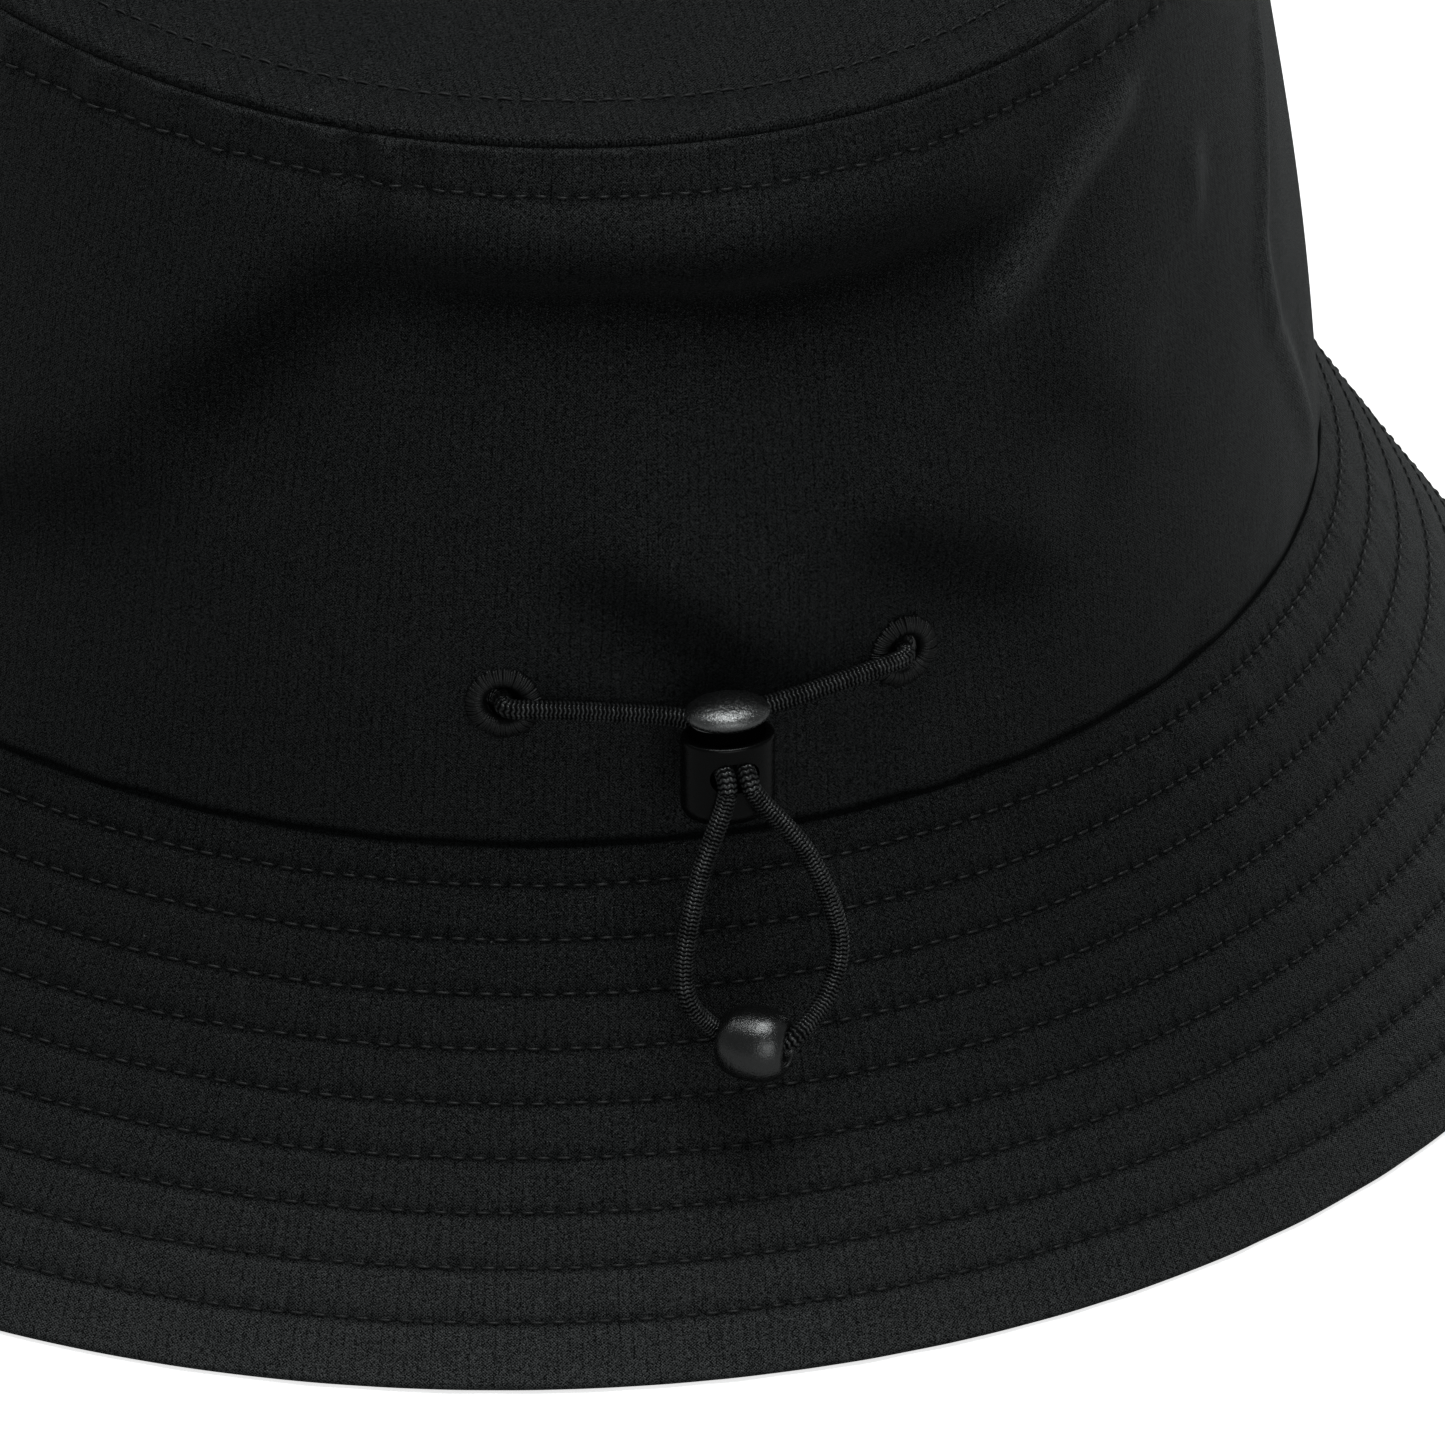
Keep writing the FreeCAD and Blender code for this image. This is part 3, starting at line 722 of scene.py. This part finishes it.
def cut_eyelet_hole(piece, centre, way):
    """Cuts a round hole through the wall for one eyelet."""
    bpy.ops.mesh.primitive_cylinder_add(vertices=48, radius=EYELET_CUT_R, depth=8 * MM, location=centre)
    cutter = bpy.context.object
    cutter.rotation_mode = "QUATERNION"
    cutter.rotation_quaternion = Vector(way).to_track_quat("Z", "Y")
    bpy.context.view_layer.update()
    cut = piece.modifiers.new("hole", "BOOLEAN")
    cut.object = cutter
    cut.operation = "DIFFERENCE"
    cut.solver = "EXACT"
    result = bpy.data.meshes.new_from_object(piece.evaluated_get(bpy.context.evaluated_depsgraph_get()))
    piece.modifiers.clear()
    piece.data = result
    bpy.data.objects.remove(cutter)


def eyelet_frame(name):
    """Centre, outward direction and the two directions across an eyelet."""
    low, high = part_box(name)
    middle = np.array((low + high) / 2)
    centre, way = wall_point(turn_of(middle), part_of(middle))
    across = unit(np.cross(UP, way))
    return centre, way, across, np.cross(way, across)


def brim():
    """The brim's upper cloth, quilted along its rows and rolled at both edges."""
    turn = round_turns(1700)
    parts = np.linspace(0.997, 0.004, 190)
    outer, way = brim_point(turn[None, :], parts[:, None])
    edge = rolled(outer, way, unit(outer[:1] - outer[2:3]))
    top = rolled_top(outer, way)
    outer = np.concatenate([edge, outer, top])
    inner = outer - surface_normals(outer) * CLOTH
    lengths = lengths_along(outer[:, 0])
    piece = sheet_ring("brim_upper_cloth", outer, inner, BRIM_ROUND, "hat", SHELL, lengths)
    index, off = row_place(parts[:, None])
    # Painted shade: darker at the needle holes and their grooves, and in the seam's crease next to the
    # crown.
    holes = needle_hole_shade(off, row_count(index) * turn) + SEAM_SHADE * bump(parts * SLOPE, 0.25 * MM)[:, None]
    mark(piece, "painted_stitch_shade", holes, len(edge), len(top))
    # Painted shade near the crown, where its shadow falls, and painted light towards the edge.
    mark(piece, "painted_light_and_shade", (1.6 * parts ** 2 - 0.5)[:, None] + 0 * turn, len(edge), len(top))
    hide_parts("brim_upper")


def brim_under():
    """The brim's lower cloth, pulled up along the same rows."""
    turn = round_turns(1200)
    parts = np.linspace(0.990, 0.012, 130)
    outer, way = brim_point(turn[None, :], parts[:, None])
    relief = brim_relief(turn[None, :], parts[:, None])
    low = outer - way * (BRIM_DEPTH + 2 * relief)[..., None]
    high = low + way * (CLOTH * 0.8)
    lengths = lengths_along(low[:, 0])
    piece = sheet_ring("brim_lower_cloth", high, low, BRIM_ROUND, "hat", SHELL, lengths)
    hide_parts("brim_lower")


def brim_stiffener():
    """The stiffener between the brim's two cloths, pinched with them along the rows."""
    turn = round_turns(720)
    parts = np.linspace(0.975, 0.03, 90)
    outer, way = brim_point(turn[None, :], parts[:, None], -0.65 * MM)
    relief = brim_relief(turn[None, :], parts[:, None])
    inner = outer - way * (0.55 * MM + relief)[..., None]
    lengths = np.linspace(0, SLOPE, len(parts))
    piece = sheet_ring("brim_stiffener_felt", outer, inner, BRIM_ROUND, "hat", FELT, lengths)
    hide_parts("brim_interlining")


def tip():
    """The domed top panel, its edge rolled over the seam."""
    turn = round_turns(720)
    reach = np.concatenate([np.linspace(0.988, 0.86, 30), np.linspace(0.85, 0.02, 60)])
    outer, way = tip_point(turn[None, :], reach[:, None])
    outer = np.concatenate([rolled(outer, way, unit(outer[:1] - outer[2:3])), outer])
    inner = outer - surface_normals(outer) * CLOTH
    piece = disc_sheet("tip_cloth", outer, inner, "hat", SHELL)
    # Painted shade: the whole top is painted darker, and its gloss is lowered with it.
    mark(piece, "painted_light_and_shade", np.full((len(piece.data.vertices), 1), -0.4))
    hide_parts("tip_panel")


def mark(piece, name, values, before=0, after=0):
    """Stores a value for each point of a piece's face for its material: one holds the painted shade at
    stitches and seams, one the painted light and shade on the cloth (lighter above 0, darker below), "lay"
    how high a braid's strands are.
    Rolled edges, some rows before and after, take the nearest row's values."""
    values = np.pad(values, ((before, after), (0, 0)), "edge")
    marks = np.zeros(len(piece.data.vertices), np.float32)
    marks[:values.size] = values.ravel()
    piece.data.attributes.new(name, "FLOAT", "POINT").data.foreach_set("value", marks)


# ---- stitches
def stitches(name, centres, ways, runs, lengths, node):
    """Many short arched threads that end below the cloth. All arrays have one row a stitch."""
    rings, sides = 7, 6
    s = np.linspace(-1, 1, rings)
    lift = THREAD_R * (0.60 - 1.6 * s ** 4)
    fat = THREAD_R * (1 - 0.45 * np.abs(s) ** 3)
    across = np.cross(ways, runs)
    spine = centres[:, None] + runs[:, None] * (s[None, :, None] * lengths[:, None, None] / 2)
    spine = spine + ways[:, None] * lift[None, :, None]
    ring = round_ways(across, ways, round_turns(sides))[:, None]
    points = spine[:, :, None] + ring * fat[None, :, None, None]
    faces = [face[::-1] for face in tube_faces(len(centres), rings, sides)]
    piece = add_mesh(name, points, faces, "hat", THREAD)
    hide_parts(node)


def row_of(point_at, count, jitter):
    """Stitch centres, outward ways, run directions and lengths for a row round the hat."""
    turn = (np.arange(count) + 0.5) / count * TURN
    turn = turn + jitter.normal(0, 0.03, count) * TURN / count
    near = 0.3
    centre, way = point_at(turn)
    ahead, _ = point_at(turn + near * TURN / count)
    behind, _ = point_at(turn - near * TURN / count)
    run = unit(ahead - behind)
    run = run + way * jitter.normal(0, 0.03, (count, 1))
    wander = np.cross(way, run) * jitter.normal(0, 0.035 * MM, (count, 1))
    pitch = np.linalg.norm(ahead - behind, axis=1) / (2 * near)
    length = pitch * (STITCH_LENGTH + jitter.normal(0, 0.03, count))
    return centre + wander, way, unit(run), length


def join_rows(rows):
    """Several rows of stitches as one."""
    return [np.concatenate(column) for column in zip(*rows)]


def brim_stitches():
    """The brim's rows of stitches, seen from above and from below."""
    jitter = np.random.default_rng(31)
    top, under = [], []
    for index in range(BRIM_ROWS):
        part = FIRST_ROW + (LAST_ROW - FIRST_ROW) * index / (BRIM_ROWS - 1)
        count = int(row_count(index))
        top.append(row_of(lambda turn: brim_point(turn, part), count, jitter))
        centre, way, run, length = row_of(lambda turn: brim_point(turn, part), count, jitter)
        relief = brim_relief(turn_of(centre), part)
        under.append((centre - way * (BRIM_DEPTH + 2 * relief)[:, None], -way, run, length))
    stitches("brim_top_stitches", *join_rows(top), "brim_topstitch_rows")
    stitches("brim_under_stitches", *join_rows(under), "brim_under_stitch_rows")


def crown_stitches():
    """The rows along the seam between the wall and the top."""
    jitter = np.random.default_rng(37)
    part = 1 - TOPSTITCH_OFFSET / WALL
    row = row_of(lambda turn: wall_point(turn, part, -0.2 * MM), band_count(), jitter)
    stitches("band_top_stitches", *row, "band_topstitch")
    reach = 1 - TOPSTITCH_OFFSET / TIP[0]
    row = row_of(lambda turn: tip_point(turn, reach), tip_count(), jitter)
    stitches("tip_top_stitches", *row, "tip_topstitch")


def sweatband_stitches():
    """The row that holds the sweatband, seen from inside."""
    oval = SWEAT_TOP - np.array([1.0 * MM, 1.0 * MM, 0, 3 * MM])
    row = row_of(lambda turn: (on_oval(oval, turn), -oval_way(oval, turn)), 230, np.random.default_rng(43))
    stitches("sweatband_stitches", *row, "sweatband_stitch")


# ---- inside of the hat
def inset_ring(name, low, high, rows, thickness, material, node, waviness):
    """A ring of soft sheet inside the hat, from the oval low up to the oval high."""
    turn = round_turns(420)
    part = np.linspace(0, 1, rows)[:, None]
    oval = low + (high - low) * part[..., None]
    way = oval_way(low, turn)[None]
    ripple = waves(turn[None, :], part * 3, seed=41, count=5, low=4, high=14)
    ripple = waviness * ripple * np.sin(np.pi * part)
    outer = on_oval(oval, turn[None, :]) + way * ripple[..., None]
    inner = outer - way * thickness
    lengths = part[:, 0] * (high[3] - low[3])
    piece = sheet_ring(name, outer, inner, TURN * (low[0] + low[1]) / 2, "hat", material, lengths)
    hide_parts(node)


def sweatband():
    inset_ring("sweatband_knit", SWEAT, SWEAT_TOP, 24, 1.0 * MM, KNIT, "sweatband",
               0.15 * MM)


def lining():
    """The thin cloth inside the wall and under the top."""
    shrink = np.array([1.6 * MM, 1.6 * MM, 0, 0])
    low = rim(["side_lining"], False) - shrink - np.array([0, 0, 0, 8 * MM])
    high = rim(["side_lining"], True) - shrink
    inset_ring("side_lining_cloth", low, high, 40, 0.3 * MM, LINING, "side_lining",
               0.6 * MM)
    reach = np.linspace(0.955, 0.02, 40)
    under, way = tip_point(round_turns(360)[None, :], reach[:, None], -1.6 * MM)
    piece = disc_sheet("tip_lining_cloth", under, under - way * 0.3 * MM, "hat", LINING)
    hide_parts("tip_lining")


# ---- drawcord
def spline(points, step):
    """Points evenly spaced along a smooth curve through the given ones."""
    p = np.asarray(points, float)
    p = np.concatenate([[2 * p[0] - p[1]], p, [2 * p[-1] - p[-2]]])
    fine = []
    for i in range(1, len(p) - 2):
        t = np.linspace(0, 1, 40, endpoint=False)[:, None]
        a, b, c, d = p[i - 1], p[i], p[i + 1], p[i + 2]
        square = 2 * a - 5 * b + 4 * c - d
        cube = 3 * b - a - 3 * c + d
        fine.append(0.5 * (2 * b + (c - a) * t + square * t ** 2 + cube * t ** 3))
    fine = np.concatenate(fine + [[p[-2]]])
    even, _ = evenly(fine, step)
    for _ in range(SMOOTHING):
        even[1:-1] = 0.25 * even[:-2] + 0.5 * even[1:-1] + 0.25 * even[2:]
    return evenly(even, step)


def evenly(points, step):
    """A line with its points evenly spaced, and how far along it each one is."""
    run = lengths_along(points)
    places = np.linspace(0, run[-1], max(int(run[-1] / step), 8))
    return np.stack([np.interp(places, run, points[:, k]) for k in range(3)], -1), places


def braid(angle, along):
    """Height of a herringbone braid's strands, 0 to 1."""
    zigzag = np.abs((angle / TURN * BRAID_COLUMNS) % 1 - 0.5) * 2
    strand = 0.5 + 0.5 * np.cos(TURN * along / BRAID_PITCH + BRAID_SLANT * zigzag)
    furrow = 1 - 0.35 * bump(1 - zigzag, 0.12) - 0.35 * bump(zigzag, 0.12)
    return strand ** 0.7 * furrow


def cord(name, points, *nodes):
    """A braided cord along a smooth path, in place of some CAD nodes."""
    sides = 70
    centre, along = spline(points, 0.075 * MM)
    run = unit(np.gradient(centre, axis=0))
    normal = np.zeros_like(run)
    seed = UP if abs(run[0][2]) < 0.9 else np.array([1.0, 0, 0])
    normal[0] = unit(seed - run[0] * (seed @ run[0]))
    for i in range(1, len(run)):
        normal[i] = unit(normal[i - 1] - run[i] * (normal[i - 1] @ run[i]))
    side = np.cross(run, normal)
    angle = round_turns(sides)
    height = braid(angle[None, :], along[:, None])
    radius = CORD_R - BRAID_FURROW + BRAID_HEIGHT * height
    points = centre[:, None] + round_ways(side, normal, angle) * radius[..., None]
    piece = add_mesh(name, points, tube_faces(1, len(centre), sides), None, CORD)
    mark(piece, "lay", height)
    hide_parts(*nodes)
    return piece


def joint(name):
    """One joint of the frame."""
    return next(j for j in frame["joints"] if j["name"] == name)


LOCK_LOW, LOCK_HIGH = [np.array(c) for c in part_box("cord_lock_body")]
LOCK_MID = (LOCK_LOW + LOCK_HIGH) / 2
PASS_LOW, PASS_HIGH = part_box("drawcord_in_lock")
LIFT = np.array(joint("loop_lift")["pos_m"])
BEAD_AT = np.array(joint("bead_spin")["pos_m"])
BEAD_WAY = np.array(joint("bead_spin")["axis"])
HALF_PITCH = (PASS_HIGH.x - PASS_LOW.x) / 2 - CORD_R  # half of the way between the two strands


def step(x, y, z):
    """A step in millimetres."""
    return np.array([x, y, z]) * MM


def lock_entry(side):
    """Where one side's cord enters the lock."""
    return np.array([LOCK_MID[0] + side * HALF_PITCH, LOCK_HIGH[1], LIFT[2]])


def cord_run(side, name):
    """One side's cord: hidden behind the wall, out through the eyelet, over the cloth to the lock."""
    centre, way, across, _ = eyelet_frame("eyelet_" + name)
    turn = turn_of(centre)
    part = part_of(centre)
    points = [wall_point(turn * share, part, -2.6 * MM)[0] for share in (4.4, 3.4, 2.4, 1.7, 1.22)]
    points.append(centre + across * side * 0.2 * MM - way * 1.3 * MM)
    points.append(centre + way * 0.3 * MM)
    points.append(centre - across * side * 0.3 * MM + way * 1.5 * MM)
    points.append(wall_point(turn * 0.80, part, 1.9 * MM)[0])
    points.append(wall_point(turn * 0.42, part - 0.012, 1.7 * MM)[0])
    end = lock_entry(side)
    points += [end + step(side * 1.5, 1.2, 2.0), end, end - step(0, 1.2, 0)]
    piece = cord("drawcord_run_" + name + "_braid", points, "drawcord_run_" + name)
    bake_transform(piece)


def cord_mouth(side, name, *nodes):
    """One strand of cord through the lock and out of its mouth."""
    end = lock_entry(side)
    mouth = LIFT + np.array([side * HALF_PITCH, 0, 0])
    lean = 0.35 if side > 0 else 0
    points = [end - step(0, 0.4, 0), end - step(0, 3, 0), mouth + step(0, 1.4, 0)]
    points += [mouth + step(0, 0.35, -0.35), mouth + step(lean, 0, -1.7)]
    piece = cord("drawcord_mouth_" + name, points, *nodes)
    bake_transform(piece)


def drawcord():
    """Both sides' cord, and the loop that joins them below the lock."""
    cord_run(-1, "left")
    cord_mouth(-1, "left")
    cord_run(1, "right")
    cord_mouth(1, "right", "drawcord_in_lock", "drawcord_loop_root")
    piece = cord("drawcord_loop_braid", loop_points(), "drawcord_loop")
    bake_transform(piece)


def loop_points():
    """The loop's line: down the left strand, through the bead and up the right one."""
    half = HALF_PITCH / MM
    left = [at(-half, 1.5, 0), at(-half - 0.4, 3.2, 0.1), at(-4.2, 10.0, 0.8), at(-5.9, 16.5, 1.9)]
    left += [at(-6.7, 21.2, 2.8), at(-6.2, 24.8, 3.5)]
    right = [at(7.4, 26.0, 5.4), at(9.6, 23.2, 3.6), at(10.4, 19.2, 2.5), at(9.0, 13.6, 1.5)]
    right += [at(6.6, 8.4, 0.7), at(half + 1.4, 3.2, 0.1), at(half + 0.3, 1.5, 0)]
    mouth = BEAD_WAY * BEAD_HALF
    through = [BEAD_AT - mouth * 1.28 + step(0, 0, 1.2), BEAD_AT - mouth * 0.95 + step(0, 0, 0.3), BEAD_AT]
    through += [BEAD_AT + mouth * 0.85 + step(0, 0, 0.6), BEAD_AT + mouth * 1.18 + step(0, 0, 1.6)]
    return left + through + right


def at(right, down, out):
    """A point by its millimetres right of, below and out from the lock's mouth."""
    return LIFT + step(right, -out, -down)


def eyelet_satin(name):
    """Radial threads that wrap over an eyelet's rim into its hole."""
    centre, way, across, up = eyelet_frame(name)
    jitter = np.random.default_rng(51)
    count = THREADS_PER_EYELET
    angle = (np.arange(count) + jitter.normal(0, 0.14, count)) / count * TURN
    spoke = round_ways(across, up, angle)
    outer = EYELET_OUTER_R + jitter.normal(0, 0.09, count) * MM
    s = np.linspace(0, 1, 11)
    reach = outer[:, None] * (1 - s) + EYELET_HOLE_R * s
    height = 0.72 * MM * np.sin(np.pi * np.clip(s * 0.80 + 0.02, 0, 1)) ** 0.7 - 0.75 * MM * s ** 7
    height = height[None, :] + jitter.normal(0, 0.03 * MM, (count, 1))
    lean = np.cross(way, spoke) * (0.22 * MM)
    spine = centre + spoke[:, None] * reach[..., None] + way * height[..., None]
    spine = spine + lean[:, None] * (1 - s)[None, :, None]
    piece = tubes(name + "_satin", spine, 0.185 * MM, "hat", SATIN)
    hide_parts(name)


def eyelet_underlay(name):
    """The low padded ring under an eyelet's threads."""
    centre, way, across, up = eyelet_frame(name)
    ring = round_turns(64)
    profile = round_turns(16)[:, None]
    reach = 2.95 * MM + 0.95 * MM * np.cos(profile)
    height = 0.05 * MM + 0.42 * MM * np.sin(profile)
    points = centre + round_ways(across, up, ring)[None] * reach[..., None] + way * height[..., None]
    faces, _ = ring_faces(len(profile), len(ring), True)
    add_mesh(name + "_underlay", points, faces.tolist(), "hat", THREAD)


def tubes(name, spines, radius, body, material, sides=6):
    """Thin round threads along spines, an array (threads, points, 3)."""
    count, rings = spines.shape[:2]
    run = unit(np.gradient(spines, axis=1))
    seed = unit(np.cross(run[:, :1], run[:, -1:]) + 1e-9)
    side = unit(seed - run * (seed * run).sum(-1, keepdims=True))
    points = spines[:, :, None] + round_ways(side, np.cross(run, side), round_turns(sides)) * radius
    return add_mesh(name, points, tube_faces(count, rings, sides), body, material)


def eyelet_patch(side):
    """A round of stiffener behind an eyelet, following the wall."""
    node = "eyelet_patch_" + side
    centre, _, across, up = eyelet_frame("eyelet_" + side)
    low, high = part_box(node)
    radius = (high.z - low.z) / 2
    reach = np.linspace(radius, 2.7 * MM, 8)
    flat = centre + round_ways(across, up, round_turns(72))[None] * reach[:, None, None]
    turn = turn_of(flat)
    part = part_of(flat)
    front = wall_point(turn, part, -PATCH_DEPTH)[0]
    back = wall_point(turn, part, -PATCH_DEPTH - PATCH_THICKNESS)[0]
    piece = sheet_ring(node + "_felt", front, back, TURN * radius, "hat", FELT, reach)
    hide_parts(node)


def cord_anchor(side):
    """A bar tack: close threads across the cord's hidden end."""
    node = "cord_anchor_" + side
    low, high = [np.array(c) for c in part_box(node)]
    middle = (low + high) / 2
    way = wall_point(turn_of(middle), part_of(middle))[1]
    across = unit(np.cross(UP, way))
    spread = np.linspace(-1, 1, 13) * MM
    s = np.linspace(-1, 1, 12)
    arch = np.cos(s * math.pi / 2) * 1.25 * MM
    spine = middle + across * spread[:, None, None] + UP * (s * 1.9 * MM)[None, :, None]
    spine = spine + way * arch[None, :, None]
    piece = tubes(node + "_threads", spine, 0.1 * MM, "hat", SATIN)
    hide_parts(node)


# ---- fittings
def lock_spring():
    """The coil under the button, which pressing the button squeezes; here it keeps one shape and rides
    with the lock body.
    """
    low, high = [np.array(c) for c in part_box("cord_lock_spring")]
    middle = (low + high) / 2
    length = high[2] - low[2]
    radius = (high[0] - low[0]) / 2 - SPRING_WIRE_R
    share = np.linspace(0, 1, 160)
    angle = share * SPRING_TURNS * TURN
    rise = low[2] + SPRING_WIRE_R + share * (length - 2 * SPRING_WIRE_R)
    spine = np.stack([middle[0] + radius * np.cos(angle), middle[1] + radius * np.sin(angle), rise], -1)
    coil = tubes("cord_lock_coil", spine[None], SPRING_WIRE_R, "lock", STEEL, 12)
    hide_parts("cord_lock_spring")
    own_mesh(coil)


def bead():
    """A moulded barrel bead with a parting line: its section, turned round its bore."""
    s = np.linspace(-0.96, 0.96, 60)
    radius = BEAD_R * (1 - 0.30 * np.abs(s) ** 2.4 - 0.10 * np.abs(s) ** 9)
    radius -= 0.05 * MM * bump(s * BEAD_HALF + 1.6 * MM, 0.06 * MM)
    outside = np.stack([s * BEAD_HALF, radius], -1)
    t = np.linspace(0, 1, 8)
    inwards = radius[-1] * (1 - t) * 0.96 + (BEAD_BORE + 0.25 * MM) * t
    lip = np.stack([BEAD_HALF * (0.985 - 0.02 * (1 - t)), inwards], -1)
    inner = np.array([[BEAD_HALF * share, BEAD_BORE] for share in (0.94, 0, -0.94)])
    section = np.concatenate([outside, lip, inner, lip[::-1] * np.array([-1, 1])])
    up = unit(UP - BEAD_WAY * (UP @ BEAD_WAY))
    side = np.cross(BEAD_WAY, up)
    spoke = round_ways(up, side, round_turns(96))
    points = BEAD_AT + BEAD_WAY * section[:, :1, None] + spoke[None] * section[:, 1:, None]
    faces, _ = ring_faces(len(section), len(spoke), True)
    piece = add_mesh("cord_bead_moulded", points, faces.tolist(), "bead", BEAD)
    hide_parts("cord_bead")


def paint_cad():
    """CAD parts whose shape is right stay, with their own finish."""
    for name, material in (("cord_lock_body", MATT), ("cord_lock_button", GLOSS)):
        mesh = frame["nodes"][name].data
        mesh.materials.clear()
        mesh.materials.append(material)
        mesh.polygons.foreach_set("use_smooth", [True] * len(mesh.polygons))


# ---- studio
FLOOR_HALF = 6.0
FLOOR_GAP = 0.05 * MM  # from the paper up to the brim
AIR_LIGHT = 0.14  # strength of the light from all round
LIGHT_TINT = (0.96, 1.0, 1.0)
LIGHTS = {  # place, aim, size, watts
    "key_softbox": ((-0.8, 0.5, 1.4), (0, -0.05, 0.06), (0.45, 0.45), 4),
    "overhead_strip": ((0.05, -0.3, 1.5), (0, -0.08, 0.06), (0.8, 0.4), 9.5),
    "front_panel": ((0.2, -2.6, 0.8), (0, 0, 0.08), (1.8, 1.6), 13),
    "side_panel": ((1.3, 0.95, 0.4), (0.05, 0, 0.06), (0.8, 0.6), 3.5),
}
CAMERA_DEGREES = (-13.507, 29.531, -0.108)  # azimuth, elevation and roll, fitted to the photograph
CAMERA_AIM = (0.0009, -0.098, 0.0639)
CAMERA_DISTANCE = 2.3505
CAMERA_LENS = 553.8  # mm, on a sensor as wide as a film frame
SENSOR_WIDTH = 36


def area_light(name, place, aim, size, watts):
    light = bpy.data.lights.new(name, "AREA")
    light.shape = "RECTANGLE"
    light.size, light.size_y = size
    light.energy = watts
    light.color = LIGHT_TINT
    lamp = bpy.data.objects.new(name, light)
    bpy.context.scene.collection.objects.link(lamp)
    lamp.location = place
    lamp.rotation_euler = (Vector(aim) - Vector(place)).to_track_quat("-Z", "Y").to_euler()


def paper_material():
    """White to the camera, but dark to the cloth, so that it lights the hat little from below."""
    n = Nodes("white_paper")
    rays = n.add("ShaderNodeLightPath").outputs
    tone = n.mix(n.noise(3.0), grey(0.90), grey(0.92))
    seen = n.math("MAXIMUM", rays["Is Camera Ray"], n.times(rays["Is Glossy Ray"], 0.35))
    tone = n.mix(seen, grey(0.12), tone)
    glow = n.times(rays["Is Camera Ray"], 0.8)
    return n.finish(tone, 0.9, Emission_Color=tone, Emission_Strength=glow)


def floor():
    """A wide sheet of paper just under the hat."""
    mesh = bpy.data.meshes.new("floor")
    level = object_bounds()[0][2] - FLOOR_GAP
    corners = [(x, y, level) for x, y in ((-1, -1), (1, -1), (1, 1), (-1, 1))]
    mesh.from_pydata([(x * FLOOR_HALF, y * FLOOR_HALF, z) for x, y, z in corners], [], [(0, 1, 2, 3)])
    mesh.materials.append(paper_material())
    ground = bpy.data.objects.new("floor", mesh)
    bpy.context.scene.collection.objects.link(ground)
    ground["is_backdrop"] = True


def studio():
    """A pale room with four soft lights."""
    world = bpy.data.worlds.new("studio")
    world.use_nodes = True
    air = world.node_tree.nodes["Background"].inputs
    air["Color"].default_value = (0.95, 1.0, 1.0, 1)
    air["Strength"].default_value = AIR_LIGHT
    bpy.context.scene.world = world
    for name, settings in LIGHTS.items():
        area_light(name, *settings)


def camera():
    """A long lens behind and above the hat, aimed at the crown's back just over the brim."""
    azimuth, elevation, roll = [math.radians(degrees) for degrees in CAMERA_DEGREES]
    level = math.cos(elevation)
    ahead = Vector((-math.sin(azimuth) * level, math.cos(azimuth) * level, -math.sin(elevation)))
    lens = bpy.data.cameras.new("camera")
    lens.lens = CAMERA_LENS
    lens.sensor_width = SENSOR_WIDTH
    lens.clip_start = 0.05
    view = bpy.data.objects.new("camera", lens)
    bpy.context.scene.collection.objects.link(view)
    view.location = Vector(CAMERA_AIM) - ahead * CAMERA_DISTANCE
    turn = ahead.to_track_quat("-Z", "Y").to_matrix().to_4x4()
    view.rotation_euler = (turn @ Matrix.Rotation(roll, 4, "Z")).to_euler()
    bpy.context.scene.camera = view


def main():
    bpy.context.scene.view_settings.view_transform = "Standard"
    side_band()
    brim()
    brim_under()
    brim_stiffener()
    tip()
    brim_stitches()
    crown_stitches()
    sweatband()
    lining()
    sweatband_stitches()
    for side in ("left", "right"):
        eyelet_satin("eyelet_" + side)
        eyelet_underlay("eyelet_" + side)
        eyelet_patch(side)
        cord_anchor(side)
    drawcord()
    lock_spring()
    bead()
    paint_cad()
    floor()
    studio()
    camera()


main()
